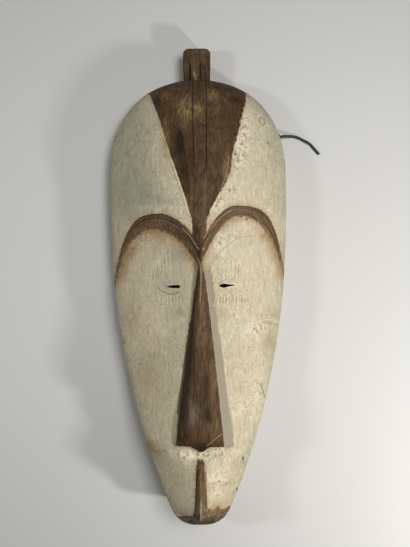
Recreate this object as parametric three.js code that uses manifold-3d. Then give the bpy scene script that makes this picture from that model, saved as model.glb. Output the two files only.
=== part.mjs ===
// A carved face mask of light wood, lying on its flat back rim with the face up.
//
// Millimetres. X runs across the face, Y from the chin to the crown, and Z out of the face.
// The back rim lies in the plane z = 0, and the origin is in the middle of the floor under the mask.

import * as THREE from "three";
import { mergeVertices } from "three/addons/utils/BufferGeometryUtils.js";
import Module from "manifold-3d";

const wasm = await Module();
wasm.setup();

// Plan of the head, a tall egg that is widest above the brows
const crownY = 241;
const widestY = 121;
const chinY = -280;
const halfWidth = 106;
const crownFullness = 2.3;
const jawNarrowing = 0.774;
const jawPower = 2.53;
const chinRoundLength = 18;
const chinRoundPower = 2.8;

// Side walls, which lean in from the edge of the face to the back rim
const edgeZ = 23.5;
const chinEdgeRise = 23.8;
const jawRiseFromY = -110;
const jawRiseLength = 152;
const rimAcross = 0.945;
const rimAlong = 0.983;

// Forehead dome, highest where the two brows meet
const browZ = 91;
const browMeetY = 39;
const domePower = 1.2;
const domeFullness = 0.46;
const sectionPower = 1.76;
const sectionFullness = 0.83;

// Height of the cheeks along the middle, and of the muzzle below the nose: [y, z]. Under the brows the cheeks
// are as round across as the forehead, and from there down they grow flatter, with rounder edges.
const cheekLine = [
  [110, 74], [60, 76], [39, 79.5], [20, 80.5], [-5, 78], [-50, 75], [-90, 72], [-150, 73], [-183, 76],
];
const cheekRoundY = 40;
const cheekFlatY = -20;
const cheekPower = 1.4;
const cheekFullness = 0.55;
const muzzleLine = [
  [-183, 76], [-205, 77], [-218, 79], [-238, 85], [-247, 86.5], [-256, 82], [-264, 68], [-272, 55],
  [-280, 47.3],
];
const muzzleTopY = -183;
const keelFromY = -235;
const keelPower = 1.15;
const keelFullness = 1.0;

// The dip between the nose and the mouth
const lipDipY = -191;
const lipDipDepth = 7;
const lipDipLength = 7;
const lipDipWidth = 15;

// Brow arches. Each line falls from its peak to the temple and to the nose by a power of the distance.
const browMeetX = 2.5;
const leftBrow = {
  crest: { peakX: -46, peakY: 75, temple: [57, 83.5, 3], nose: [48.5, 37, 2.2] },
  foot: { peakX: -52, peakY: 58.5, temple: [51, 73, 2.3], nose: [54.5, 44.5, 2.3] },
};
const rightBrow = {
  crest: { peakX: 46, peakY: 83, temple: [56.5, 74.6, 4], nose: [43.5, 45, 2.2] },
  foot: { peakX: 48.2, peakY: 72.8, temple: [54.3, 71.7, 2.5], nose: [45.7, 58.8, 2.3] },
};

// Nose, a long wedge with a flat back and sloping sides. Along y: the height of its back, its middle x, and
// how far its sides spread over the wall depth.
const noseLine = [
  [64, 84], [48, 89.5], [34, 91.5], [10, 91.5], [-25, 89], [-90, 83.5], [-130, 85], [-158, 86.7],
  [-170, 85.5], [-178, 81.5], [-186, 76],
];
const noseMiddleLine = [[64, 3.3], [21.5, 3.3], [-43, 4.7], [-109, 3.7], [-174, 1.7], [-186, 1.2]];
const noseFlareLine = [[64, 8], [21.5, 8], [-43, 8.3], [-109, 8.2], [-150, 8.6], [-186, 9]];
const noseRootY = 21.5;
const noseLength = 205;
const noseRootHalf = 0.8;
const noseSpread = 24.6;
const noseWallDepth = 14;
const noseKeelRise = 0.8;
const noseCornerRound = 1.2;
const noseBase = [
  [-48, -181], [-14, -176.5], [-7, -178.5], [1.5, -184.5], [9, -178.5], [15, -177], [48, -181],
];

// Knob on the crown
const knobHalfWidth = 16.6;
const knobRootHalfWidth = 15.8;
const knobTopY = 280;
const knobRootY = 226;
const knobHeight = 26;
const knobCorner = 7;
const knobGrooves = [-8, 4];
const knobGrooveWidth = 2;
const knobGrooveDepth = 2;
const knobGrooveTopY = 261;
const knobCornerSegments = 5;

// Hollow at the back
const wallInset = 16;
const roofThickness = 11;
const hollowEdgeDrop = 12;
const hollowPower = 2.2;
const hollowFullness = 0.8;
const hollowEndZ = 5;

// Eye slits, lens shaped and cut right through: middle x, middle y and width
const eyeSlits = [[-27.5, -4.8, 15], [31.6, -4.3, 18]];
const eyeSlitHeight = 3.6;
const eyeSlitFromZ = 40;
const eyeSlitDepth = 60;
const eyeSlitSegments = 7;

// Hanging cord and the holes that it goes through
const cordDiameter = 3.3;
const cordSides = 8;
const cordStep = 8;
const cordHoleDiameter = 5.4;
const cordHoleSides = 10;
const cordHoleY = 177;
const cordHoleZ = 8.5;
const knotHalf = [3.7, 4.2, 3.9];
const knotSides = 12;
const knotRings = 8;
const knotStandOff = 0.3;
const touchGap = 0.3;
const cordRun = [
  [-84, 177, 8.5], [-77, 176.6, 7.6], [-69.5, 174.6, 4.8], [-61, 171.4, 2.3], [-51, 167, 1.8],
  [-38, 161.5, 1.8], [-22, 156.5, 1.8], [-4, 154.5, 1.8], [14, 156, 1.8], [30, 160, 1.8],
  [45, 165.4, 1.8], [57, 170, 2], [67, 174, 4], [76, 176.5, 7.4], [83, 177, 8.5],
];
const cordTail = [
  [107.5, 178.6, 6.6], [114.6, 179.4, 3.4], [120.3, 179.2, 2], [126.1, 177.5, 1.8],
  [132.5, 174.2, 1.8], [140.2, 169.9, 1.8], [145.4, 164.1, 1.8], [151.7, 156.9, 1.8],
];

// Fineness of the facets: the rows close up towards the crown and the chin, where the form turns fastest
const columns = 44;
const foreheadRows = 15;
const crownCloseness = 1.7;
const cheekRows = 12;
const muzzleRows = 11;
const chinCloseness = 1.5;
const noseRows = 22;
const hollowColumns = 20;
const hollowRows = 22;

const wood = { roughness: 0.78, metalness: 0 };

function clamp01(value) {
  return Math.min(1, Math.max(0, value));
}

function smooth01(value) {
  const t = clamp01(value);
  return t * t * (3 - 2 * t);
}

// Height read off a smooth line through a few [place, height] stations
function heightAlong(line, place) {
  const first = line[0][0];
  const last = line[line.length - 1][0];
  const step = Math.sign(last - first);
  let index = 0;
  while (index < line.length - 2 && (place - line[index + 1][0]) * step > 0) {
    index += 1;
  }
  const slopeAt = (i) => {
    if (i === 0 || i === line.length - 1) {
      const a = line[Math.max(0, i - 1)];
      const b = line[Math.min(line.length - 1, i + 1)];
      return (b[1] - a[1]) / (b[0] - a[0]);
    }
    const before = (line[i][1] - line[i - 1][1]) / (line[i][0] - line[i - 1][0]);
    const after = (line[i + 1][1] - line[i][1]) / (line[i + 1][0] - line[i][0]);
    return before * after > 0 ? (2 * before * after) / (before + after) : 0;
  };
  const [x0, z0] = line[index];
  const [x1, z1] = line[index + 1];
  const span = x1 - x0;
  const t = clamp01((place - x0) / span);
  const rise = z0 * (1 + 2 * t) * (1 - t) ** 2 + z1 * t * t * (3 - 2 * t);
  const bend = slopeAt(index) * span * t * (1 - t) ** 2 - slopeAt(index + 1) * span * t * t * (1 - t);
  return rise + bend;
}

// Half the width of the head at y, drawn in all round by an inset
function outline(y, inset = 0) {
  const half = halfWidth - inset;
  if (y >= widestY) {
    const t = clamp01((y - widestY) / (crownY - widestY - inset));
    return half * (1 - t ** crownFullness) ** (1 / crownFullness);
  }
  const length = widestY - chinY - inset;
  const t = clamp01((widestY - y) / length);
  const c = clamp01((widestY - y - length + chinRoundLength) / chinRoundLength);
  return half * (1 - jawNarrowing * t ** jawPower) * (1 - c ** chinRoundPower) ** (1 / chinRoundPower);
}

function edgeHeight(y) {
  return edgeZ + chinEdgeRise * clamp01((jawRiseFromY - y) / jawRiseLength);
}

function crossSection(share, low, high, power, fullness) {
  return low + (high - low) * Math.max(0, 1 - Math.abs(share) ** power) ** fullness;
}

function foreheadTop(y) {
  const t = clamp01((crownY - y) / (crownY - browMeetY));
  return edgeZ + (browZ - edgeZ) * (1 - (1 - t) ** domePower) ** domeFullness;
}

function foreheadHeight(share, y) {
  return crossSection(share, edgeHeight(y), foreheadTop(y), sectionPower, sectionFullness);
}

function cheekHeight(share, y) {
  const blend = smooth01((cheekRoundY - y) / (cheekRoundY - cheekFlatY));
  const power = THREE.MathUtils.lerp(sectionPower, cheekPower, blend);
  const fullness = THREE.MathUtils.lerp(sectionFullness, cheekFullness, blend);
  return crossSection(share, edgeHeight(y), heightAlong(cheekLine, y), power, fullness);
}

function muzzleHeight(share, y) {
  const blend = smooth01((muzzleTopY - y) / (muzzleTopY - keelFromY));
  const power = THREE.MathUtils.lerp(cheekPower, keelPower, blend);
  const fullness = THREE.MathUtils.lerp(cheekFullness, keelFullness, blend);
  const height = crossSection(share, edgeHeight(y), heightAlong(muzzleLine, y), power, fullness);
  const along = (y - lipDipY) / lipDipLength;
  const across = (share * outline(y)) / lipDipWidth;
  return height - lipDipDepth * Math.exp(-along * along - across * across);
}

// The height y of a brow line over x
function browLine(line, x) {
  const outward = Math.sign(line.peakX) * (x - line.peakX);
  const [span, drop, power] = outward > 0 ? line.temple : line.nose;
  return line.peakY - drop * (Math.abs(outward) / span) ** power;
}

// Where a column of the front crosses a brow line: the column bends with the outline, so this settles in a
// few steps
function browCrossing(share, which) {
  let y = browMeetY;
  for (let pass = 0; pass < 12; pass += 1) {
    const x = share * outline(y);
    const brow = x < browMeetX ? leftBrow : rightBrow;
    y = (y + browLine(brow[which], x)) / 2;
  }
  return y;
}

// One column of the front, from the crown to the chin
function frontColumn(share) {
  const crest = browCrossing(share, "crest");
  const foot = browCrossing(share, "foot");
  const points = [];
  const add = (y, z) => points.push([share * outline(y), y, z]);
  for (let row = 1; row <= foreheadRows; row += 1) {
    const y = crownY - (crownY - crest) * (row / foreheadRows) ** crownCloseness;
    add(y, foreheadHeight(share, y));
  }
  for (let row = 0; row < cheekRows; row += 1) {
    const y = foot - (foot - muzzleTopY) * (row / cheekRows);
    add(y, cheekHeight(share, y));
  }
  for (let row = 0; row < muzzleRows; row += 1) {
    const y = muzzleTopY + (chinY - muzzleTopY) * (1 - (1 - row / muzzleRows) ** chinCloseness);
    add(y, muzzleHeight(share, y));
  }
  return points;
}

function toSolid(geometry) {
  const bare = geometry.index ? geometry.clone() : geometry;
  bare.deleteAttribute("normal");
  bare.deleteAttribute("uv");
  const merged = mergeVertices(bare, 1e-4);
  const mesh = new wasm.Mesh({
    numProp: 3,
    vertProperties: new Float32Array(merged.attributes.position.array),
    triVerts: new Uint32Array(merged.index.array),
  });
  return new wasm.Manifold(mesh);
}

function toGeometry(solid) {
  const mesh = solid.getMesh();
  const geometry = new THREE.BufferGeometry();
  geometry.setAttribute("position", new THREE.BufferAttribute(mesh.vertProperties, 3));
  geometry.setIndex(new THREE.BufferAttribute(mesh.triVerts, 1));
  geometry.computeVertexNormals();
  return geometry;
}

// A closed skin over rows of points. Each row runs across from -X to +X and has as many points as the next,
// and the rows go from +Y to -Y. The first and last point lists close the two ends.
function skin(rows, start, end) {
  const width = rows[0].length;
  const positions = [...start, ...rows.flat(2), ...end];
  const index = [];
  const at = (row, column) => 1 + row * width + (column % width);
  const last = 1 + rows.length * width;
  for (let column = 0; column < width; column += 1) {
    index.push(0, at(0, column), at(0, column + 1));
    index.push(last, at(rows.length - 1, column + 1), at(rows.length - 1, column));
    for (let row = 0; row < rows.length - 1; row += 1) {
      index.push(at(row, column), at(row + 1, column), at(row + 1, column + 1));
      index.push(at(row, column), at(row + 1, column + 1), at(row, column + 1));
    }
  }
  const geometry = new THREE.BufferGeometry();
  geometry.setAttribute("position", new THREE.Float32BufferAttribute(positions, 3));
  geometry.setIndex(index);
  return geometry;
}

// The head before the nose, knob and hollow: front, leaning side walls and flat back
function headBlock() {
  const shares = Array.from({ length: columns + 1 }, (_, i) => Math.sin((i / columns - 0.5) * Math.PI));
  const across = shares.map(frontColumn);
  const rows = across[0].map((_, row) => {
    const front = across.map((column) => column[row]);
    const back = [front[front.length - 1], front[0]].map(([x, y]) => [x * rimAcross, y * rimAlong, 0]);
    return [...front, ...back];
  });
  const crown = [0, crownY, edgeZ];
  const chin = [0, chinY, edgeHeight(chinY)];
  return skin(rows, crown, chin);
}

function noseHalfWidth(y) {
  const t = Math.max(0, (noseRootY - y) / noseLength);
  return noseRootHalf + noseSpread * t;
}

function noseBlock() {
  const rows = [];
  const [top] = noseLine[0];
  const [bottom] = noseLine[noseLine.length - 1];
  for (let row = 0; row <= noseRows; row += 1) {
    const y = top + ((bottom - top) * row) / noseRows;
    const middle = heightAlong(noseMiddleLine, y);
    const flare = heightAlong(noseFlareLine, y);
    const half = noseHalfWidth(y);
    const round = Math.min(noseCornerRound, half / 2);
    const z = heightAlong(noseLine, y);
    const foot = half + flare;
    const deep = half + 2 * flare;
    const offsets = [
      [-deep, -2 * noseWallDepth], [-foot, -noseWallDepth], [-half, -round], [-half + round, 0],
      [0, noseKeelRise],
      [half - round, 0], [half, -round], [foot, -noseWallDepth], [deep, -2 * noseWallDepth],
    ];
    rows.push(offsets.map(([x, drop]) => [middle + x, y, z + drop]));
  }
  const start = [heightAlong(noseMiddleLine, top), top, heightAlong(noseLine, top) - noseWallDepth];
  const end = [heightAlong(noseMiddleLine, bottom), bottom, heightAlong(noseLine, bottom) - noseWallDepth];
  const loft = toSolid(skin(rows, start, end));
  const plan = new THREE.Shape();
  plan.moveTo(noseBase[0][0], top + 10);
  noseBase.forEach(([x, y]) => plan.lineTo(x, y));
  plan.lineTo(noseBase[noseBase.length - 1][0], top + 10);
  const block = new THREE.ExtrudeGeometry(plan, { depth: 2 * noseLine[0][1], bevelEnabled: false });
  return loft.intersect(toSolid(block));
}

function knobBlock() {
  const shape = new THREE.Shape();
  shape.moveTo(-knobRootHalfWidth, knobRootY);
  shape.lineTo(knobRootHalfWidth, knobRootY);
  shape.lineTo(knobHalfWidth, knobTopY - knobCorner);
  shape.quadraticCurveTo(knobHalfWidth, knobTopY, knobHalfWidth - knobCorner, knobTopY);
  shape.lineTo(-knobHalfWidth + knobCorner, knobTopY);
  shape.quadraticCurveTo(-knobHalfWidth, knobTopY, -knobHalfWidth, knobTopY - knobCorner);
  shape.lineTo(-knobRootHalfWidth, knobRootY);
  const geometry = new THREE.ExtrudeGeometry(shape, {
    depth: knobHeight,
    bevelEnabled: false,
    curveSegments: knobCornerSegments,
  });
  let knob = toSolid(geometry);
  for (const x of knobGrooves) {
    const length = knobGrooveTopY - knobRootY;
    const groove = new THREE.BoxGeometry(knobGrooveWidth, length, 2 * knobGrooveDepth);
    groove.translate(x, knobGrooveTopY - length / 2, knobHeight);
    knob = knob.subtract(toSolid(groove));
  }
  return knob;
}

function hollowBlock() {
  const top = crownY - wallInset;
  const bottom = chinY + wallInset;
  const rows = [];
  for (let row = 1; row < hollowRows; row += 1) {
    const t = 0.5 - 0.5 * Math.cos((row / hollowRows) * Math.PI);
    const y = top + (bottom - top) * t;
    const half = outline(y, wallInset);
    const low = edgeHeight(y) - hollowEdgeDrop;
    const roof = Math.min(foreheadTop(y), heightAlong(cheekLine, y), heightAlong(muzzleLine, y));
    const ring = [];
    for (let column = 0; column <= hollowColumns; column += 1) {
      const share = Math.sin((column / hollowColumns - 0.5) * Math.PI);
      const z = crossSection(share, low, roof - roofThickness, hollowPower, hollowFullness);
      ring.push([share * half, y, z]);
    }
    ring.push([half, y, -1], [-half, y, -1]);
    rows.push(ring);
  }
  return toSolid(skin(rows, [0, top, hollowEndZ], [0, bottom, hollowEndZ]));
}

function eyeSlit([x, y, width]) {
  const lens = new THREE.Shape();
  lens.moveTo(x - width / 2, y);
  lens.quadraticCurveTo(x, y + eyeSlitHeight, x + width / 2, y);
  lens.quadraticCurveTo(x, y - eyeSlitHeight, x - width / 2, y);
  const cut = new THREE.ExtrudeGeometry(lens, {
    depth: eyeSlitDepth,
    bevelEnabled: false,
    curveSegments: eyeSlitSegments,
  });
  cut.translate(0, 0, eyeSlitFromZ);
  return toSolid(cut);
}

function cordHoles() {
  const radius = cordHoleDiameter / 2;
  const hole = new THREE.CylinderGeometry(radius, radius, 3 * halfWidth, cordHoleSides);
  hole.rotateZ(Math.PI / 2);
  hole.translate(0, cordHoleY, cordHoleZ);
  return toSolid(hole);
}

function carvedMask() {
  let mask = toSolid(headBlock()).add(noseBlock()).add(knobBlock()).subtract(hollowBlock());
  for (const slit of eyeSlits) {
    mask = mask.subtract(eyeSlit(slit));
  }
  return toGeometry(mask.subtract(cordHoles()));
}

// Where the outside of the side wall stands at the height of the cord holes
function wallAtHole() {
  const edge = outline(cordHoleY);
  return edge * THREE.MathUtils.lerp(rimAcross, 1, cordHoleZ / edgeZ);
}

function cordPiece(points) {
  const path = new THREE.CatmullRomCurve3(points.map((point) => new THREE.Vector3(...point)));
  const section = new THREE.Shape();
  section.absarc(0, 0, cordDiameter / 2, 0, 2 * Math.PI);
  return new THREE.ExtrudeGeometry(section, {
    steps: Math.ceil(path.getLength() / cordStep),
    curveSegments: cordSides,
    extrudePath: path,
    bevelEnabled: false,
  });
}

function knotPiece(x) {
  const knot = new THREE.SphereGeometry(1, knotSides, knotRings);
  knot.scale(...knotHalf);
  knot.translate(x, cordHoleY, cordHoleZ);
  return knot;
}

const maskMaterial = new THREE.MeshStandardMaterial({ color: 0xd2c8aa, ...wood });
const cordMaterial = new THREE.MeshStandardMaterial({ color: 0x16130f, roughness: 0.85, metalness: 0 });

const mask = new THREE.Group();

function addPiece(name, geometry, material) {
  const piece = new THREE.Mesh(geometry, material.clone());
  piece.name = name;
  mask.add(piece);
}

const knotX = wallAtHole() + touchGap + knotHalf[0] + knotStandOff;
const knotFace = knotX - knotHalf[0] - touchGap;
const knotBack = knotX + knotHalf[0] + touchGap;

addPiece("mask", carvedMask(), maskMaterial);
addPiece("hanging_cord", cordPiece([
  [-knotFace, cordHoleY, cordHoleZ], ...cordRun, [knotFace, cordHoleY, cordHoleZ],
]), cordMaterial);
addPiece("left_knot", knotPiece(-knotX), cordMaterial);
addPiece("right_knot", knotPiece(knotX), cordMaterial);
addPiece("cord_tail", cordPiece([[knotBack, cordHoleY + 0.6, cordHoleZ - 0.4], ...cordTail]), cordMaterial);

export default mask;
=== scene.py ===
"""A carved wooden face mask, whitened with clay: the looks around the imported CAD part.

The frame is that of the CAD part: X across the face, Y from the chin to the crown and Z out of the face. The
sizes of the carving and the cord are in millimetres, as a carver reads them, and each finished mesh is in
metres. So are the floor, the lamps and the patterns of the finishes.
"""

import logging
import math
from collections.abc import Sequence
from dataclasses import dataclass, field
from enum import Enum

import bpy
import numpy as np
from mathutils import Matrix, Vector
from mathutils.bvhtree import BVHTree


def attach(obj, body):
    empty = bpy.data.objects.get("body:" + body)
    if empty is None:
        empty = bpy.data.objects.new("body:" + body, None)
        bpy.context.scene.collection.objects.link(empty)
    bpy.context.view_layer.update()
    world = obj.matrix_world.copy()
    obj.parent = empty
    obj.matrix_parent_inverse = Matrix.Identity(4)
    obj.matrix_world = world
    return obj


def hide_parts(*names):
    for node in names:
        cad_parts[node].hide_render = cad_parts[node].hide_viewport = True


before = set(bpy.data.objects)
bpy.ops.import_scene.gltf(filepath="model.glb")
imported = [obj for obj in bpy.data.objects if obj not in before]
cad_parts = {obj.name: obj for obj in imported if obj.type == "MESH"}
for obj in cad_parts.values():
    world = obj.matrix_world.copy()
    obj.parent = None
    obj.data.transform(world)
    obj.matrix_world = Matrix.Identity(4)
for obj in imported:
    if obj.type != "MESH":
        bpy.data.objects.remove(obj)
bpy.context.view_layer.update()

MILLIMETRE = 0.001
LOG = logging.getLogger("mask")

Point2 = tuple[float, float]
Point3 = tuple[float, float, float]
Colour = tuple[float, float, float]
Line = tuple[Point2, ...]
Wave = tuple[float, float, int]
Socket = bpy.types.NodeSocket
Value = Socket | float | tuple
Node = bpy.types.Node
Tree = bpy.types.NodeTree
Solid = bpy.types.Object
Material = bpy.types.Material
Array = np.ndarray


class Join(Enum):
    """How one solid is joined to or cut from another."""

    ADD = "UNION"
    CUT = "DIFFERENCE"
    KEEP = "INTERSECT"


class BrowEdge(Enum):
    """The two long edges of a brow arch."""

    CREST = "crest"
    FOOT = "foot"


class Tone(Enum):
    """What a knife line holds in its bottom: old dirt, or pale fresh wood or clay. The dirt tone also paints
    the shadow lines beside the eye strokes.
    """

    DIRT = "cuts"
    PALE = "scrapes"


def clamp01(value: Array) -> Array:
    """Holds values between nought and one."""
    return np.clip(value, 0.0, 1.0)


def smooth01(value: Array) -> Array:
    """An S-shaped rise from nought to one, flat outside them."""
    t = clamp01(value)
    return t * t * (3.0 - 2.0 * t)


def height_along(line: Line, place: Array) -> Array:
    """Reads heights off a smooth line through a few stations, with no overshoot.

    Args:
        line: The stations, each a place and a height.
        place: Where to read.

    Returns:
        The height at each place.
    """
    stations = np.array(sorted(line), float)
    at, height = stations[:, 0], stations[:, 1]
    slope = np.diff(height) / np.diff(at)
    product = slope[:-1] * slope[1:]
    total = np.where(product > 0.0, slope[:-1] + slope[1:], 1.0)
    inner = np.where(product > 0.0, 2.0 * product / total, 0.0)
    tangent = np.concatenate([slope[:1], inner, slope[-1:]])
    index = np.clip(np.searchsorted(at, place, side="right") - 1, 0, len(at) - 2)
    span = at[index + 1] - at[index]
    t = clamp01((place - at[index]) / span)
    rise = height[index] * (1.0 + 2.0 * t) * (1.0 - t) ** 2 + height[index + 1] * t * t * (3.0 - 2.0 * t)
    bend = tangent[index] * span * t * (1.0 - t) ** 2 - tangent[index + 1] * span * t * t * (1.0 - t)
    return rise + bend


def ripple(x: Array, y: Array, size: float, seed: int) -> Array:
    """Smooth random waves over a plane.

    Args:
        x: Places along the first axis.
        y: Places along the second axis.
        size: The rough width of one wave.
        seed: Picks one pattern; the same seed gives the same waves.

    Returns:
        Values from minus one to one.
    """
    cells = 64
    table = np.random.default_rng(seed).uniform(-1.0, 1.0, (cells, cells))
    u, v = np.asarray(x, float) / size + 7.3, np.asarray(y, float) / size + 3.1
    i, j = np.floor(u).astype(int), np.floor(v).astype(int)
    s, t = smooth01(u - i), smooth01(v - j)
    near = table[i % cells, j % cells] * (1.0 - s) + table[(i + 1) % cells, j % cells] * s
    far = table[i % cells, (j + 1) % cells] * (1.0 - s) + table[(i + 1) % cells, (j + 1) % cells] * s
    return near * (1.0 - t) + far * t


def rippled(waves: Sequence[Wave], x: Array, y: Array) -> Array:
    """Waves of several sizes over one plane, added up, each given as a height, a size and a seed."""
    return sum(height * ripple(x, y, size, seed) for height, size, seed in waves)


def smooth_path(points: Sequence[Sequence[float]], step: float) -> Array:
    """A smooth curve through points, cut into even steps.

    Args:
        points: The points it passes through, in two or three dimensions.
        step: The rough distance from one point of the result to the next.

    Returns:
        The points along the curve.
    """
    knots = np.array(points, float)
    padded = np.vstack([2 * knots[0] - knots[1], knots, 2 * knots[-1] - knots[-2]])
    fine = 24
    t = np.arange(fine)[:, None] / fine
    parts = []
    for a, b, c, d in zip(padded, padded[1:], padded[2:], padded[3:]):
        bend = (2 * a - 5 * b + 4 * c - d) * t * t + (3 * b - a - 3 * c + d) * t**3
        parts.append(0.5 * (2 * b + (c - a) * t + bend))
    dense = np.vstack([*parts, knots[-1:]])
    reach = np.concatenate([[0.0], np.cumsum(np.linalg.norm(np.diff(dense, axis=0), axis=1))])
    wanted = np.linspace(0.0, reach[-1], max(2, round(reach[-1] / step)) + 1)
    return np.stack([np.interp(wanted, reach, dense[:, axis]) for axis in range(dense.shape[1])], axis=1)


class Workshop:
    """Makes closed meshes and joins or cuts them, in millimetres."""

    @staticmethod
    def loft(name: str, rings: Array, start: Sequence[float], end: Sequence[float]) -> Solid:
        """A closed skin over rings of points, drawn together to a point at each end.

        Args:
            name: The object's name.
            rings: Points as ring, place on the ring, coordinate.
            start: The point that closes the first ring.
            end: The point that closes the last ring.

        Returns:
            The new object, with its faces turned outward.
        """
        count, width, _ = rings.shape
        points = np.vstack([rings.reshape(-1, 3), [start], [end]])
        grid = np.arange(count * width).reshape(count, width)
        beside = np.roll(grid, -1, axis=1)
        quads = np.stack([grid[:-1], grid[1:], beside[1:], beside[:-1]], axis=-1).reshape(-1, 4)
        first = [(count * width, int(a), int(b)) for a, b in zip(grid[0], beside[0])]
        last = [(count * width + 1, int(b), int(a)) for a, b in zip(grid[-1], beside[-1])]
        mesh = bpy.data.meshes.new(name)
        mesh.from_pydata(points.tolist(), [], quads.tolist() + first + last)
        piece = bpy.data.objects.new(name, mesh)
        bpy.context.scene.collection.objects.link(piece)
        if Workshop.volume(piece) < 0.0:
            mesh.flip_normals()
        return piece

    @staticmethod
    def volume(piece: Solid) -> float:
        """The signed volume of a closed mesh, below nought where its faces are turned inward.

        Args:
            piece: The piece.

        Returns:
            The volume, in cubic units of the mesh.
        """
        mesh = piece.data
        mesh.calc_loop_triangles()
        points = np.empty(len(mesh.vertices) * 3)
        mesh.vertices.foreach_get("co", points)
        corners = np.empty(len(mesh.loop_triangles) * 3, int)
        mesh.loop_triangles.foreach_get("vertices", corners)
        a, b, c = np.moveaxis(points.reshape(-1, 3)[corners.reshape(-1, 3)], 1, 0)
        return float(np.einsum("ij,ij->i", a, np.cross(b, c)).sum() / 6.0)

    @staticmethod
    def prism(name: str, outline: Sequence[Point2], low: float, high: float) -> Solid:
        """A straight block over an outline in the plane of X and Y.

        Args:
            name: The object's name.
            outline: The corners of the outline.
            low: The height of its underside.
            high: The height of its top.

        Returns:
            The block.
        """
        plan = np.array(outline, float)
        rings = np.stack([np.column_stack([plan, np.full(len(plan), z)]) for z in (low, high)])
        middle = plan.mean(axis=0)
        return Workshop.loft(name, rings, (*middle, low), (*middle, high))

    @staticmethod
    def gather(name: str, pieces: Sequence[Solid]) -> Solid:
        """Puts the meshes of several pieces that don't touch into one object, and removes the pieces.

        Args:
            name: The object's name.
            pieces: The pieces.

        Returns:
            The new object.
        """
        points, faces, base = [], [], 0
        for piece in pieces:
            mesh = piece.data
            points += [tuple(vertex.co) for vertex in mesh.vertices]
            faces += [[base + index for index in polygon.vertices] for polygon in mesh.polygons]
            base += len(mesh.vertices)
            bpy.data.objects.remove(piece)
        joined = bpy.data.meshes.new(name)
        joined.from_pydata(points, [], faces)
        result = bpy.data.objects.new(name, joined)
        bpy.context.scene.collection.objects.link(result)
        return result

    @staticmethod
    def combine(body: Solid, other: Solid, how: Join) -> None:
        """Joins another solid to a body or cuts it away, and removes the other.

        Args:
            body: The solid that stays.
            other: The solid that is joined to it or cut away, and is used up.
            how: Whether to join, cut or keep what both share.
        """
        step = body.modifiers.new("combine", "BOOLEAN")
        step.operation = how.value
        step.solver = "MANIFOLD"
        step.object = other
        graph = bpy.context.evaluated_depsgraph_get()
        result = bpy.data.meshes.new_from_object(body.evaluated_get(graph))
        body.modifiers.clear()
        body.data = result
        bpy.data.objects.remove(other)

    @staticmethod
    def points_of(piece: Solid) -> Array:
        """The vertices of a piece, one row each.

        Args:
            piece: The piece.

        Returns:
            The vertices.
        """
        flat = np.empty(len(piece.data.vertices) * 3)
        piece.data.vertices.foreach_get("co", flat)
        return flat.reshape(-1, 3)

    @staticmethod
    def note(piece: Solid, name: str, values: Array) -> None:
        """Writes one number for each vertex, for a material to read by name."""
        layer = piece.data.attributes.new(name, "FLOAT", "POINT")
        layer.data.foreach_set("value", np.asarray(values, np.float32))

    @staticmethod
    def finish(piece: Solid, sharp_degrees: float) -> None:
        """Turns a piece from millimetres to metres and shades it smooth between its sharp edges.

        Args:
            piece: The piece.
            sharp_degrees: The least angle that stays a sharp edge.
        """
        piece.data.transform(Matrix.Scale(MILLIMETRE, 4))
        piece.data.shade_smooth()
        piece.data.set_sharp_from_angle(angle=math.radians(sharp_degrees))


@dataclass(frozen=True)
class BrowLine:
    """One edge of a brow arch, which falls from its peak to the temple and to the nose."""

    peak_x: float
    peak_y: float
    temple: Point3
    nose: Point3

    def height(self, x: Array) -> Array:
        """The place of the edge along Y at each x.

        Args:
            x: Places across the face.

        Returns:
            The place of the edge at each x.
        """
        outward = np.sign(self.peak_x) * (x - self.peak_x)
        span, drop, power = (np.where(outward > 0.0, a, b) for a, b in zip(self.temple, self.nose))
        return self.peak_y - drop * (np.abs(outward) / span) ** power


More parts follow.
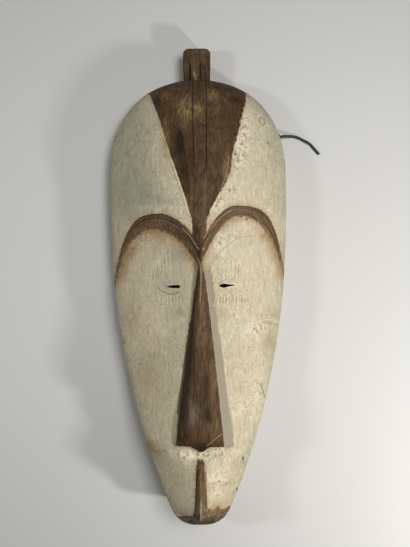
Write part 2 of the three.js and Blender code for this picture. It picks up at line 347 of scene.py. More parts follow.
@dataclass(frozen=True)
class HeadShape:
    """The form of the head, as the CAD part has it."""

    crown_y: float = 241.0
    widest_y: float = 121.0
    chin_y: float = -280.0
    half_width: float = 106.0
    crown_fullness: float = 2.3
    jaw_narrowing: float = 0.774
    jaw_power: float = 2.53
    chin_round_length: float = 18.0
    chin_round_power: float = 2.8
    edge_z: float = 23.5
    chin_edge_rise: float = 23.8
    jaw_rise_from_y: float = -110.0
    jaw_rise_length: float = 152.0
    rim_across: float = 0.945
    rim_along: float = 0.983
    brow_z: float = 91.0
    brow_meet_x: float = 2.5
    brow_meet_y: float = 39.0
    dome_power: float = 1.2
    dome_fullness: float = 0.46
    section_power: float = 1.76
    section_fullness: float = 0.83
    cheek_line: Line = (
        (110, 74), (60, 76), (39, 79.5), (20, 80.5), (-5, 78), (-50, 75), (-90, 72), (-150, 73), (-183, 76),
    )
    cheek_round_y: float = 40.0
    cheek_flat_y: float = -20.0
    cheek_power: float = 1.4
    cheek_fullness: float = 0.55
    muzzle_line: Line = (
        (-183, 76), (-205, 77), (-218, 79), (-238, 85), (-247, 86.5), (-256, 82), (-264, 68), (-272, 55),
        (-280, 47.3),
    )
    muzzle_top_y: float = -183.0
    keel_from_y: float = -235.0
    keel_power: float = 1.15
    keel_fullness: float = 1.0
    lip_dip_y: float = -191.0
    lip_dip_depth: float = 7.0
    lip_dip_length: float = 7.0
    lip_dip_width: float = 15.0
    left_crest: BrowLine = BrowLine(-46, 75, (57, 83.5, 3), (48.5, 37, 2.2))
    left_foot: BrowLine = BrowLine(-52, 58.5, (51, 73, 2.3), (54.5, 44.5, 2.3))
    right_crest: BrowLine = BrowLine(46, 83, (56.5, 74.6, 4), (43.5, 45, 2.2))
    right_foot: BrowLine = BrowLine(48.2, 72.8, (54.3, 71.7, 2.5), (45.7, 58.8, 2.3))

    def outline(self, y: Array, inset: float = 0.0) -> Array:
        """Half the width of the head at each y, drawn in all round by an inset.

        Args:
            y: Places along the face.
            inset: How far it is drawn in.

        Returns:
            Half the width at each y.
        """
        half = self.half_width - inset
        up = clamp01((y - self.widest_y) / (self.crown_y - self.widest_y - inset))
        crown = half * (1.0 - up**self.crown_fullness) ** (1.0 / self.crown_fullness)
        length = self.widest_y - self.chin_y - inset
        down = clamp01((self.widest_y - y) / length)
        tip = clamp01((self.widest_y - y - length + self.chin_round_length) / self.chin_round_length)
        chin = (1.0 - tip**self.chin_round_power) ** (1.0 / self.chin_round_power)
        jaw = half * (1.0 - self.jaw_narrowing * down**self.jaw_power) * chin
        return np.where(y >= self.widest_y, crown, jaw)

    def edge_height(self, y: Array) -> Array:
        """The height of the edge between the face and the side walls."""
        return self.edge_z + self.chin_edge_rise * clamp01((self.jaw_rise_from_y - y) / self.jaw_rise_length)

    def section(self, share: Array, y: Array, top: Array, power: Array, fullness: Array) -> Array:
        """A bulging cross section from the edge up to the middle."""
        low = self.edge_height(y)
        return low + (top - low) * np.maximum(0.0, 1.0 - np.abs(share) ** power) ** fullness

    def dome_line(self, y: Array) -> Array:
        """The height of the forehead dome along its middle.

        Args:
            y: Places along the face.

        Returns:
            The height at each y.
        """
        t = clamp01((self.crown_y - y) / (self.crown_y - self.brow_meet_y))
        rise = (1.0 - (1.0 - t) ** self.dome_power) ** self.dome_fullness
        return self.edge_z + (self.brow_z - self.edge_z) * rise

    def forehead(self, share: Array, y: Array) -> Array:
        """The height of the forehead dome."""
        return self.section(share, y, self.dome_line(y), self.section_power, self.section_fullness)

    def cheek(self, share: Array, y: Array) -> Array:
        """The height of the cheeks.

        Args:
            share: Places across the face, as a share of its half width.
            y: Places along the face.

        Returns:
            The height at each point.
        """
        blend = smooth01((self.cheek_round_y - y) / (self.cheek_round_y - self.cheek_flat_y))
        power = self.section_power + (self.cheek_power - self.section_power) * blend
        fullness = self.section_fullness + (self.cheek_fullness - self.section_fullness) * blend
        return self.section(share, y, height_along(self.cheek_line, y), power, fullness)

    def muzzle(self, share: Array, y: Array) -> Array:
        """The height of the muzzle and chin, with the dip under the nose.

        Args:
            share: Places across the face, as a share of its half width.
            y: Places along the face.

        Returns:
            The height at each point.
        """
        blend = smooth01((self.muzzle_top_y - y) / (self.muzzle_top_y - self.keel_from_y))
        power = self.cheek_power + (self.keel_power - self.cheek_power) * blend
        fullness = self.cheek_fullness + (self.keel_fullness - self.cheek_fullness) * blend
        height = self.section(share, y, height_along(self.muzzle_line, y), power, fullness)
        along = (y - self.lip_dip_y) / self.lip_dip_length
        across = share * self.outline(y) / self.lip_dip_width
        return height - self.lip_dip_depth * np.exp(-along * along - across * across)

    def brow(self, x: Array, edge: BrowEdge) -> Array:
        """The place along Y of the brow's crest or foot at each x.

        Args:
            x: Places across the face.
            edge: Which edge of the arch.

        Returns:
            The place of the edge at each x.
        """
        crest = edge is BrowEdge.CREST
        left = (self.left_crest if crest else self.left_foot).height(x)
        right = (self.right_crest if crest else self.right_foot).height(x)
        return np.where(x < self.brow_meet_x, left, right)

    def brow_gap(self, x: Array, y: Array, edge: BrowEdge) -> Array:
        """How far a point lies above the brow's crest or foot, square to it.

        Args:
            x: Places across the face.
            y: Places along it.
            edge: Which edge of the arch.

        Returns:
            The distance at each point.
        """
        reach = 0.5
        here = self.brow(x, edge)
        slope = (self.brow(x + reach, edge) - self.brow(x - reach, edge)) / (2.0 * reach)
        return (y - here) / np.sqrt(1.0 + np.minimum(slope * slope, 25.0))

    def brow_crossing(self, share: Array, edge: BrowEdge) -> Array:
        """Where each column of the front crosses a brow edge. It settles step by step, as a column bends.

        Args:
            share: Places across the face, as a share of its half width.
            edge: Which edge of the arch.

        Returns:
            The crossing of each column.
        """
        y = np.full_like(share, self.brow_meet_y)
        for _ in range(24):
            y = (y + self.brow(share * self.outline(y), edge)) / 2.0
        return y


@dataclass(frozen=True)
class Smudge:
    """A soft oval patch of colour on the front."""

    x: float
    y: float
    reach_x: float
    reach_y: float
    strength: float = 1.0

    def weight(self, x: Array, y: Array) -> Array:
        """How strongly the patch shows at each point."""
        gap = ((x - self.x) / self.reach_x) ** 2 + ((y - self.y) / self.reach_y) ** 2
        return self.strength * np.exp(-gap)


def smudges(*rows: tuple[float, ...]) -> tuple[Smudge, ...]:
    """Patches of one kind, each as x, y, reach across, reach along and its strength where that isn't full."""
    return tuple(Smudge(*row) for row in rows)


DARK_SMUDGES = smudges(
    (-18.6, 161, 5, 9), (-18.4, 145, 6.5, 13), (-14, 122, 6, 10, 0.9), (-8, 104, 6, 12, 0.5),
    (45.4, 209.7, 8, 6, 0.9), (-46, 211, 5, 7, 0.9), (36.5, 223, 6, 4, 0.6), (24, 226, 9, 4, 0.6),
    (24, 112, 5, 9, 0.6), (-0.5, 53, 5, 9, 0.9), (12, 75, 5, 6, 0.5), (0, 242, 18, 3, 0.9),
    (-12, 265, 4, 6, 0.5), (10, 258, 5, 8, 0.5), (2, -178, 14, 8, 0.8), (-18, -166, 7, 8, 0.7),
    (9, -142, 5, 9, 0.8), (7, -118, 3, 16, 0.5), (-96, 14, 4, 16, 0.6), (39.9, 122.6, 1.0, 1.8),
    (-19.9, -129.7, 1.1, 1.8), (48.8, -202, 1.6, 4), (42, -241, 1.5, 4), (16, 83, 1.6, 1.4),
    (21.5, 86, 1.2, 1.0), (2, -262, 22, 7, 0.5), (72, -120, 2, 5, 0.6), (0, -110, 24, 62, 0.3),
    (-3.6, -212, 1.1, 16, 0.7), (6.2, -214, 1.1, 16, 0.7), (13, -30, 2, 34, 0.4), (-5, -60, 2, 30, 0.3),
)
WARM_SMUDGES = smudges(
    (-14.3, 202, 8, 11), (-10.9, 186, 7, 10), (0.4, 194, 7, 8, 0.9), (17.5, 213, 6, 7, 0.9),
    (-36, 214, 9, 8, 0.5), (-35, 160, 4, 24, 0.8), (32, 122, 4, 20, 0.7), (7, 84, 5, 22, 0.25),
    (-94.5, 6, 4, 12), (-89, 19, 6, 9), (-81, 30, 6, 8), (-73, 40, 7, 8), (-66, 49, 7, 6),
    (-57, 55, 7, 5, 0.8), (-18, 44, 7, 6, 0.8), (-30, 52, 8, 4, 0.5), (66, 62, 7, 5, 0.9),
    (75, 52, 6, 7, 0.9), (84, 40, 5, 9, 0.8), (90, 24, 4, 9, 0.5), (33.4, 100, 6, 12, 0.45),
    (70, 130, 14, 24, 0.3), (-50, -193, 10, 9, 0.7), (-58, -186, 7, 8, 0.7), (24, -190, 9, 4, 0.8),
    (15, -247, 12, 10, 0.95), (33, -228, 8, 18, 0.65), (70, -122, 6, 14, 0.6), (80, -62, 9, 22, 0.6),
    (4, -48, 4.5, 40, 0.5), (40, -212, 8, 12, 0.5), (25.7, -34, 5, 7, 0.4), (-60, -110, 12, 26, 0.35),
    (-76, -40, 10, 20, 0.3), (1.2, -211, 3.0, 16, 0.65), (18, -224, 10, 2.5, 0.6),
    (28, -229, 9, 2.5, 0.5), (15, -110, 5, 34, 0.5), (19, -155, 5, 16, 0.5), (45, 80, 22, 5, 0.35),
    (18, 56, 8, 10, 0.35), (-1.5, 245, 3, 9, 0.8), (20, -262, 8, 6, 0.7),
)
GREY_SMUDGES = smudges(
    (-41, 68, 16, 4.5, 0.8), (-26, 60, 10, 5, 0.7), (-7.8, -138, 5, 15, 0.8), (-2, -60, 4, 40, 0.45),
    (2, -150, 12, 18, 0.3), (1, -243, 5, 16), (20, 200, 12, 14, 0.4), (-44, 196, 6, 20, 0.3),
    (60, 74, 14, 5, 0.6),
)
# Greenish patina and painted shade: most patches lie on the left side, away from the light on the right, and
# two along the right edge
GREEN_AND_SHADE_SMUDGES = smudges(
    (-76, 160, 28, 64, 0.9), (-68, 96, 28, 34, 0.85), (-22, 34, 16, 14, 0.6), (-34, -8, 16, 24, 0.5),
    (-42, -90, 24, 60, 0.35), (-20, -226, 22, 26, 0.12), (-19, -34, 5, 5, 0.8), (88, 150, 14, 60, 0.3),
    (-42, 86, 30, 6, 0.6), (82, -64, 9, 30, 0.3), (18, -252, 9, 9, 0.5),
)
ROUGH_SMUDGES = smudges(
    (20, 84, 10, 9), (33, 102, 10, 14), (46, 145, 8, 22), (55, 182, 7, 20, 0.8), (60, 150, 22, 40, 0.35),
    (10, -190, 26, 6), (-16, -189, 14, 5), (26, -222, 16, 22, 0.7), (66, -54, 20, 10, 0.8),
    (68, -122, 8, 22, 0.8), (50, -140, 14, 12, 0.4), (22, 40, 7, 14, 0.8), (34, 50, 14, 6, 0.7),
    (60, 62, 12, 6, 0.6), (-66, 46, 16, 6, 0.5), (-44, 82, 30, 5, 0.5),
)


def spread(patches: Sequence[Smudge], x: Array, y: Array) -> Array:
    """The strength of all the patches of one kind together, at most one."""
    return clamp01(sum(patch.weight(x, y) for patch in patches))


@dataclass(frozen=True)
class PaintPlan:
    """Where the clay stops and the stained wood shows, in plan."""

    head: HeadShape
    wedge_left: Line = (
        (63, -5.8), (81.6, -10), (117.7, -21.9), (138.8, -28.6), (182.3, -41.7), (222.7, -56.3),
    )
    wedge_right: Line = (
        (63.8, 9.6), (72.5, 12.4), (79.1, 15.1), (88, 20.1), (98.1, 25.7), (109.6, 31.9), (122.4, 36.6),
        (134, 37.9), (145.8, 39.9), (160.5, 44.3), (175.7, 48.2), (193, 52.4), (212.4, 57.8),
    )
    nose_root_y: float = 21.5
    nose_length: float = 205.0
    nose_root_half: float = 1.6
    nose_spread: float = 25.4
    nose_spread_power: float = 0.85
    nose_lean: float = 3.2
    nose_end_y: float = -186.0
    nose_base: Line = (
        (-48, -181), (-14, -176.5), (-7, -178.5), (1.5, -184.5), (9, -178.5), (15, -177), (48, -181),
    )
    # Where the painted shade beside the right wall of the nose ends on the cheek
    nose_foot: Line = ((-186, 38.4), (-174, 37.6), (-90, 27.5), (2, 16.2), (15, 14.4), (24, 12))
    stripe_middle: Line = ((-280, 1.0), (-231, 0.8), (-213, 0.4), (-190, 0.6))
    stripe_half: Line = (
        (-280, 16), (-274, 14), (-262, 9), (-250, 7.5), (-231, 6.4), (-213, 4.9), (-190, 4.2),
    )
    stripe_top_y: float = -195.0
    crown_bare_y: float = 224.0
    wedge_slant: float = 0.93
    wedge_overlap: float = 3.0
    nose_top_margin: float = 20.0
    far_in_clay: float = -9.0
    chin_top_y: float = -237.0
    chin_middle_x: float = 2.0
    chin_left_slope: float = 1.1
    chin_right_slope: float = 0.74
    chin_waves: Wave = (5.0, 7.0, 31)

    def nose_middle(self, y: Array) -> Array:
        """The middle of the nose at each y."""
        return self.nose_lean * (y - self.nose_end_y) / (self.nose_root_y - self.nose_end_y)

    def nose_half(self, y: Array) -> Array:
        """Half the width of the back of the nose at each y."""
        t = np.maximum(0.0, (self.nose_root_y - y) / self.nose_length)
        return self.nose_root_half + self.nose_spread * t**self.nose_spread_power

    def wedge_depth(self, x: Array, y: Array) -> Array:
        """How far a point lies inside the stained wedge of the forehead."""
        left, right = x - height_along(self.wedge_left, y), height_along(self.wedge_right, y) - x
        return np.minimum(left, right) * self.wedge_slant

    def stain_depth(self, x: Array, y: Array) -> Array:
        """How far a point of the front lies inside the stained wood, below nought out in the clay.

        Args:
            x: Places across the face.
            y: Places along it.

        Returns:
            The depth at each point.
        """
        above = self.head.brow_gap(x, y, BrowEdge.CREST)
        below = self.head.brow_gap(x, y, BrowEdge.FOOT)
        wedge = np.maximum(self.wedge_depth(x, y), y - self.crown_bare_y)
        wedge = np.minimum(wedge, above + self.wedge_overlap)
        band = np.minimum(-above, below)
        base = y - height_along(self.nose_base, x)
        nose = np.minimum(self.nose_half(y) - np.abs(x - self.nose_middle(y)), base)
        nose = np.where(y > self.nose_root_y + self.nose_top_margin, self.far_in_clay, nose)
        across = height_along(self.stripe_half, y) - np.abs(x - height_along(self.stripe_middle, y))
        stripe = np.minimum(across, self.stripe_top_y - y)
        return np.maximum.reduce([wedge, band, nose, stripe])

    def chin_depth(self, x: Array, y: Array) -> Array:
        """How far a point lies inside the dark worn patch of the chin, which narrows up to the stripe."""
        slope = np.where(x > self.chin_middle_x, self.chin_right_slope, self.chin_left_slope)
        return self.chin_top_y - slope * np.abs(x - self.chin_middle_x) - y + rippled([self.chin_waves], x, y)


@dataclass(frozen=True)
class ToolCut:
    """One cut of a knife or gouge, drawn in plan and following the surface under it.

    The taper is the share of its length over which each end runs out of the wood.
    """

    points: Line
    depth: float
    width: float
    taper: float = 0.3
    strength: float = 1.0
    tone: Tone = Tone.DIRT
    station_gap: float = 1.5
    lift: float = 0.9
    upright_share: float = 0.6
    clearance: float = 0.03
    end_power: float = 0.6
    colour_margin: float = 0.5

    def stations(self) -> Array:
        """Points along the cut, about one and a half millimetres apart."""
        return smooth_path(self.points, self.station_gap)

    def blade(self, surface: BVHTree) -> Solid:
        """The solid that the tool takes away.

        Args:
            surface: The surface that is cut, to find its height.

        Returns:
            A thin wedge that runs out of the wood at both ends.
        """
        sky = 300.0
        hits = [surface.ray_cast(Vector((x, y, sky)), Vector((0, 0, -1)))[:2] for x, y in self.stations()]
        path = np.array([place for place, _ in hits])
        out = np.array([normal for _, normal in hits])
        upright = np.array([0.0, 0.0, self.upright_share])
        out = out + np.roll(out, 1, axis=0) + np.roll(out, -1, axis=0) + upright
        out /= np.linalg.norm(out, axis=1)[:, None]
        side = np.cross(out, np.gradient(path, axis=0))
        side /= np.linalg.norm(side, axis=1)[:, None]
        share = np.linspace(0.0, 1.0, len(path))
        ease = clamp01(np.minimum(share, 1.0 - share) / self.taper) ** self.end_power
        deep = (self.depth * ease - self.clearance)[:, None]
        half = (deep + self.lift) * self.width / (2.0 * self.depth)
        bottom = path - out * deep
        left = path + side * half + out * self.lift
        right = path - side * half + out * self.lift
        rings = np.stack([bottom, right, left], axis=1)
        return Workshop.loft("blade", rings, rings[0].mean(axis=0), rings[-1].mean(axis=0))

    def nearness(self, x: Array, y: Array) -> Array:
        """The cut's strength in its bottom, falling to nought just outside its edges.

        Args:
            x: Places across the face.
            y: Places along it.

        Returns:
            The strength at each point.
        """
        reach = self.width / 2.0 + self.colour_margin
        plan = self.stations()
        near = np.zeros(len(x))
        low, high = plan.min(axis=0) - reach, plan.max(axis=0) + reach
        picked = np.nonzero((x > low[0]) & (x < high[0]) & (y > low[1]) & (y < high[1]))[0]
        here = np.column_stack([x[picked], y[picked]])
        gap = np.full(len(picked), reach)
        for a, b in zip(plan, plan[1:]):
            run = b - a
            t = clamp01(((here - a) @ run) / (run @ run))
            gap = np.minimum(gap, np.linalg.norm(here - a - t[:, None] * run, axis=1))
        near[picked] = self.strength * (1.0 - gap / reach)
        return near


@dataclass(frozen=True)
class EyeCarving:
    """The slit, lids and fine strokes of one eye. A stroke is a pale scratch with a darker line beside it, a
    shallow groove painted dark as its shadow.
    """

    slit: Line
    lids: tuple[tuple[Line, float], ...]
    stroke_rows: tuple[tuple[Line, float, int], ...]
    seed: int
    lid_depth: float = 0.5
    lid_width: float = 1.5
    lid_taper: float = 0.4
    stroke_depth: float = 0.6
    shade_depth: float = 0.5
    stroke_width: float = 1.2
    stroke_taper: float = 0.45
    shade_gap: float = 1.6

    def cuts(self) -> list[ToolCut]:
        """The lids and strokes as knife cuts.

        Returns:
            The cuts, the lids first.
        """
        dice = np.random.default_rng(self.seed)
        size = (self.lid_depth, self.lid_width, self.lid_taper)
        cuts = [ToolCut(lid, *size, strength) for lid, strength in self.lids]
        for line, length, count in self.stroke_rows:
            middles = smooth_path(line, 0.5)
            for place in np.linspace(0, len(middles) - 1, count):
                x, y = middles[round(place)]
                lean = 0.12 * dice.uniform(-1.0, 1.0) - 0.1 * math.copysign(1.0, x)
                x, y = x + dice.uniform(-0.7, 0.7), y + dice.uniform(-1.0, 1.0)
                half = length * dice.uniform(0.3, 0.62)
                points = ((x - lean * half, y + half), (x, y), (x + lean * half, y - half))
                shade = tuple((px + self.shade_gap, py) for px, py in points)
                form = (self.stroke_width, self.stroke_taper)
                cuts.append(ToolCut(points, self.stroke_depth, *form, dice.uniform(0.7, 1.0), Tone.PALE))
                # The line beside the stroke is painted shadow
                cuts.append(ToolCut(shade, self.shade_depth, *form, dice.uniform(0.5, 0.8)))
        return cuts


LEFT_EYE = EyeCarving(
    slit=(
        (-35.1, -4.9), (-31.4, -3.9), (-26, -3.1), (-20.8, -3.2), (-19.8, -4.6),
        (-20.6, -6.2), (-26, -6.5), (-31.4, -5.9),
    ),
    lids=(
        (((-45.7, -4.1), (-41.2, -9.6), (-34.5, -12.4), (-26.6, -12.9), (-21.5, -10.7)), 0.9),
        (((-39, -0.8), (-31, 1.4), (-22, 0.2)), 0.45),
    ),
    stroke_rows=(
        (((-53, 6), (-49, 11), (-45, 16), (-39, 22), (-31, 24)), 12.0, 9),
        (((-43, -18.5), (-32, -20), (-20, -17.8)), 8.0, 8),
    ),
    seed=11,
)
RIGHT_EYE = EyeCarving(
    slit=(
        (22.7, -4.2), (25, -2.8), (29, -2.2), (34, -2.9), (40.6, -4.0),
        (34, -5.2), (29, -6.4), (25, -5.8),
    ),
    lids=(
        (((19.5, -2.5), (24, 1.0), (31, 2.6), (38, 1.4), (43.5, -1.5)), 0.4),
        (((20.5, -6.5), (24, -9.2), (31, -10.4), (38, -9.6), (43, -7)), 0.5),
    ),
    stroke_rows=(
        (((27, 11.5), (35, 13.8), (46, 12.5)), 14.0, 8),
        (((18, -19), (29, -21.2), (42, -20.4), (54, -20.8)), 11.0, 11),
    ),
    seed=5,
)
# The edges of the mouth stripe, the streak below it and the cracks in the clay beside it
MOUTH_CUTS = (
    ToolCut(((-3.9, -200), (-4.2, -213), (-4.9, -228)), 0.6, 1.4, 0.2),
    ToolCut(((6.2, -200), (6.6, -213), (7.2, -228)), 0.6, 1.4, 0.2, 0.8),
    ToolCut(((2.6, -201), (2.8, -212), (2.2, -226)), 0.3, 1.1, 0.3, 0.5),
    ToolCut(((1.4, -236), (0.8, -246), (0.4, -258)), 0.4, 2.0, 0.3, 0.8, Tone.PALE),
    ToolCut(((8.8, -221), (13.5, -220.4), (17.5, -221.6), (23, -220.8)), 0.5, 1.5, 0.4, 0.8),
    ToolCut(((12.0, -229.5), (15.5, -229.2), (20.5, -229.9)), 0.4, 1.4, 0.4, 0.6),
    ToolCut(((24, -227.0), (28, -227.6), (34, -227.2)), 0.4, 1.4, 0.4, 0.7),
    ToolCut(((18, -236.0), (23, -235.2), (29, -236.6)), 0.4, 1.4, 0.4, 0.5),
    ToolCut(((14, -217.0), (19, -217.8), (24, -216.8)), 0.3, 1.4, 0.3, 0.8, Tone.PALE),
    ToolCut(((9.6, -198), (10.2, -206), (10.8, -212)), 0.3, 1.3, 0.3, 0.4),
    ToolCut(((49.3, -202), (49.6, -211)), 0.5, 1.6),
)
# The knife marks on the two cheeks
CHEEK_CUTS = (
    ToolCut(
        ((16.4, 22.8), (22.5, 31.2), (29.7, 38.1), (43.3, 47.1), (54.0, 50.2), (65.6, 51.0)),
        0.3, 1.3, 0.3, 0.7,
    ),
    ToolCut(((31.0, 44.0), (40.0, 50.5), (50.0, 54.0)), 0.25, 1.2, 0.3, 0.35),
    ToolCut(((18.5, 31.0), (20.8, 26.0), (24.5, 21.0)), 0.35, 1.2, 0.3, 0.5),
    ToolCut(((13.0, 16.0), (10.8, 10.5)), 0.3, 1.2, 0.3, 0.6),
    ToolCut(((72.3, -47.0), (82, -48.5), (94.0, -54.0)), 0.6, 1.4, 0.4, 0.8),
    ToolCut(((76.0, -44.0), (84, -45.0), (94.5, -49.5)), 0.3, 1.3, 0.4, 0.7, Tone.PALE),
    ToolCut(((80.0, -39.0), (86, -39.5), (94.5, -42.0)), 0.5, 1.2, 0.4, 0.6),
    ToolCut(((52.0, -53.0), (59, -52.0), (66, -54.5), (73, -53.5)), 0.4, 1.3, 0.4, 0.5),
    ToolCut(((60.0, -58.0), (61, -63.0), (60.5, -69.0)), 0.4, 1.3, 0.4, 0.5),
    ToolCut(((69.2, -118), (73.6, -128), (76.3, -137)), 0.6, 1.5),
    ToolCut(((-60, -179.8), (-47.3, -182.8), (-33.2, -182.2)), 0.35, 1.3, 0.3, 0.35),
)
# The grooves of the knob and the line at its foot
KNOB_CUTS = (
    ToolCut(((-8.0, 262), (-8.2, 250), (-8.0, 236)), 2.0, 2.0, 0.2),
    ToolCut(((4.0, 261), (4.3, 250), (4.2, 243)), 1.8, 1.8, 0.2),
    ToolCut(((10.5, 256), (10.2, 248), (10.4, 243)), 1.0, 1.6, 0.3),
    ToolCut(((-9, 270), (-5.5, 272.3), (0, 273.6), (5, 273), (10.1, 269.7)), 0.35, 1.2, 0.3, 0.5),
    ToolCut(((-3.6, 252), (-2.2, 245), (-0.2, 239)), 0.3, 1.6, 0.3, 0.9, Tone.PALE),
)


@dataclass
class CarvedMask:
    """The whole carving: head, brows, nose, muzzle, knob, hollow, slits and tool marks in one piece."""

    head: HeadShape = field(default_factory=HeadShape)
    columns: int = 216
    forehead_rows: int = 98
    forehead_spacing: float = 1.4
    band_rows: int = 10
    cheek_rows: int = 106
    muzzle_rows: int = 56
    muzzle_spacing: float = 1.5
    wall_steps: int = 6
    waves: tuple[Wave, ...] = ((0.45, 38.0, 1), (0.22, 13.0, 2))
    lumps: tuple[Wave, ...] = ((0.7, 4.2, 41), (0.4, 2.6, 42))
    wall_waves: Wave = (0.35, 16.0, 4)
    relief_edge_power: int = 8
    clay_thickness: float = 0.35
    clay_edge: float = 1.5
    crest_wear: float = 0.5
    crest_wear_reach: float = 1.6
    lid_rise: float = 1.3
    lid_reach: Point2 = (14.0, 7.0)
    lid_middles: Line = ((-31, -4.5), (31, -4))
    stripe_rise: float = 1.1
    stripe_reach: float = 4.2
    stripe_top: Point2 = (-192.0, 8.0)
    stripe_bottom: Point2 = (-262.0, 30.0)
    nose_line: Line = (
        (64, 84), (48, 89.5), (34, 91.5), (10, 91.5), (-25, 89), (-90, 83.5), (-130, 85), (-158, 86.7),
        (-170, 85.5), (-178, 81.5), (-186, 76),
    )
    nose_middle_line: Line = ((64, 3.3), (21.5, 3.3), (-43, 4.7), (-109, 3.7), (-174, 1.7), (-186, 1.2))
    nose_flare_line: Line = ((64, 8), (21.5, 8), (-43, 8.3), (-109, 8.2), (-150, 8.6), (-186, 9))
    nose_rows: int = 170
    nose_columns: int = 41
    nose_wall_rows: int = 8
    nose_end_y: float = -190.0
    nose_root_half: float = 0.8
    nose_spread: float = 24.6
    nose_wall_depth: float = 14.0
    nose_keel_rise: float = 0.8
    nose_corner_round: float = 1.2
    nose_left_lean: float = 1.6
    nose_block_half: float = 48.0
    nose_block_top_y: float = 80.0
    nose_block_heights: Point2 = (20.0, 110.0)
    knob_half_width: float = 16.6
    knob_root_half_width: float = 15.8
    knob_top_y: float = 280.0
    knob_root_y: float = 226.0
    knob_height: float = 26.0
    knob_corner: float = 7.0
    knob_edge_round: float = 1.6
    knob_edge_depth: float = 2.2
    knob_layers: int = 12
    wall_inset: float = 16.0
    roof_thickness: float = 11.0
    hollow_edge_drop: float = 12.0
    hollow_power: float = 2.2
    hollow_fullness: float = 0.8
    hollow_rows: int = 90
    hollow_columns: int = 60
    gouge_width: float = 13.0
    gouge_stroke: float = 21.0
    gouge_depth: float = 0.9
    cord_hole_radius: float = 2.7
    cord_hole_y: float = 177.0
    cord_hole_z: float = 8.5
    cord_hole_ends: Point2 = (60.0, 130.0)
    slit_heights: Point2 = (40.0, 100.0)
    worm_hole: Point2 = (54.4, 69.3)
    worm_hole_radii: Point2 = (0.95, 1.2)
    worm_hole_heights: Point2 = (58.0, 100.0)
    scar: Point2 = (76.0, 187.0)
    scar_radii: Point2 = (3.6, 5.0)
    sharp_degrees: float = 42.0

    def __post_init__(self) -> None:
        """Sets up the plan of the paint and the lines of the knife."""
        self.paint = PaintPlan(self.head)
        self.lines = [*self.tool_cuts(), *KNOB_CUTS, self.scar_cut()]

    def relief(self, x: Array, y: Array) -> Array:
        """The small rises and dips of the carved front.

        Args:
            x: Places across the face.
            y: Places along it.

        Returns:
            The rise at each point, in millimetres.
        """
        stain = self.paint.stain_depth(x, y)
        bare = -self.clay_thickness * smooth01(stain / self.clay_edge) * (y > self.head.brow_meet_y)
        crest = self.head.brow_gap(x, y, BrowEdge.CREST)
        rounded = -self.crest_wear * np.exp(-((crest / self.crest_wear_reach) ** 2))
        reach_x, reach_y = self.lid_reach
        lids = sum(
            self.lid_rise * np.exp(-(((x - mx) / reach_x) ** 2) - ((y - my) / reach_y) ** 2)
            for mx, my in self.lid_middles
        )
        across = x - height_along(self.paint.stripe_middle, y)
        stripe = self.stripe_rise * np.exp(-((across / self.stripe_reach) ** 2))
        stripe = stripe * smooth01((self.stripe_top[0] - y) / self.stripe_top[1])
        stripe = stripe * smooth01((y - self.stripe_bottom[0]) / self.stripe_bottom[1])
        lumps = rippled(self.lumps, x, y) * spread(ROUGH_SMUDGES, x, y) * smooth01(-stain / self.clay_edge)
        return rippled(self.waves, x, y) + bare + rounded + lids + stripe + lumps

    def front(self) -> Array:
        """The grid of points over the front.

        Returns:
            The points as row from the crown to the chin, column, coordinate.
        """
        head = self.head
        share = np.sin((np.arange(self.columns + 1) / self.columns - 0.5) * np.pi)
        crest = head.brow_crossing(share, BrowEdge.CREST)
        foot = head.brow_crossing(share, BrowEdge.FOOT)
        down = (np.arange(1, self.forehead_rows + 1) / self.forehead_rows) ** self.forehead_spacing
        y_dome = head.crown_y - (head.crown_y - crest) * down[:, None]
        across = np.arange(1, self.band_rows)[:, None] / self.band_rows
        y_band = crest + (foot - crest) * across
        y_cheek = foot - (foot - head.muzzle_top_y) * (np.arange(self.cheek_rows) / self.cheek_rows)[:, None]
        low = 1.0 - (1.0 - np.arange(self.muzzle_rows) / self.muzzle_rows) ** self.muzzle_spacing
        y_muzzle = head.muzzle_top_y + (head.chin_y - head.muzzle_top_y) * low
        y_muzzle = np.repeat(y_muzzle[:, None], len(share), 1)
        z_crest, z_foot = head.forehead(share, crest), head.cheek(share, foot)
        z_band = z_crest + (z_foot - z_crest) * across
        z = np.vstack([
            head.forehead(share, y_dome), z_band, head.cheek(share, y_cheek), head.muzzle(share, y_muzzle)
        ])
        y = np.vstack([y_dome, y_band, y_cheek, y_muzzle])
        x = share * head.outline(y)
        fade = 1.0 - np.abs(share) ** self.relief_edge_power
        return np.stack([x, y, z + self.relief(x, y) * fade], axis=-1)

    def side_wall(self, edge: Array, order: Array) -> Array:
        """The points of a leaning side wall, from the edge of the face down to the back rim.

        Args:
            edge: The points along the edge of the face.
            order: The steps down the wall, as shares of its height.

        Returns:
            The points as row, step, coordinate.
        """
        k = order[None, :]
        x = edge[:, :1] * (1.0 + (self.head.rim_across - 1.0) * k)
        y = edge[:, 1:2] * (1.0 + (self.head.rim_along - 1.0) * k)
        z = edge[:, 2:] * (1.0 - k)
        return np.stack([x + rippled([self.wall_waves], y, z) * np.sin(np.pi * k), y, z], axis=-1)

    def head_block(self) -> Solid:
        """The head before the nose, knob and hollow, with its leaning side walls and flat back.

        Returns:
            The head as one closed solid.
        """
        head = self.head
        front = self.front()
        steps = np.arange(1, self.wall_steps + 1) / self.wall_steps
        right, left = self.side_wall(front[:, -1], steps), self.side_wall(front[:, 0], steps[::-1])
        rings = np.concatenate([front, right, left], axis=1)
        chin = (0.0, head.chin_y, float(head.edge_height(np.array(head.chin_y))))
        return Workshop.loft("mask", rings, (0.0, head.crown_y, head.edge_z), chin)

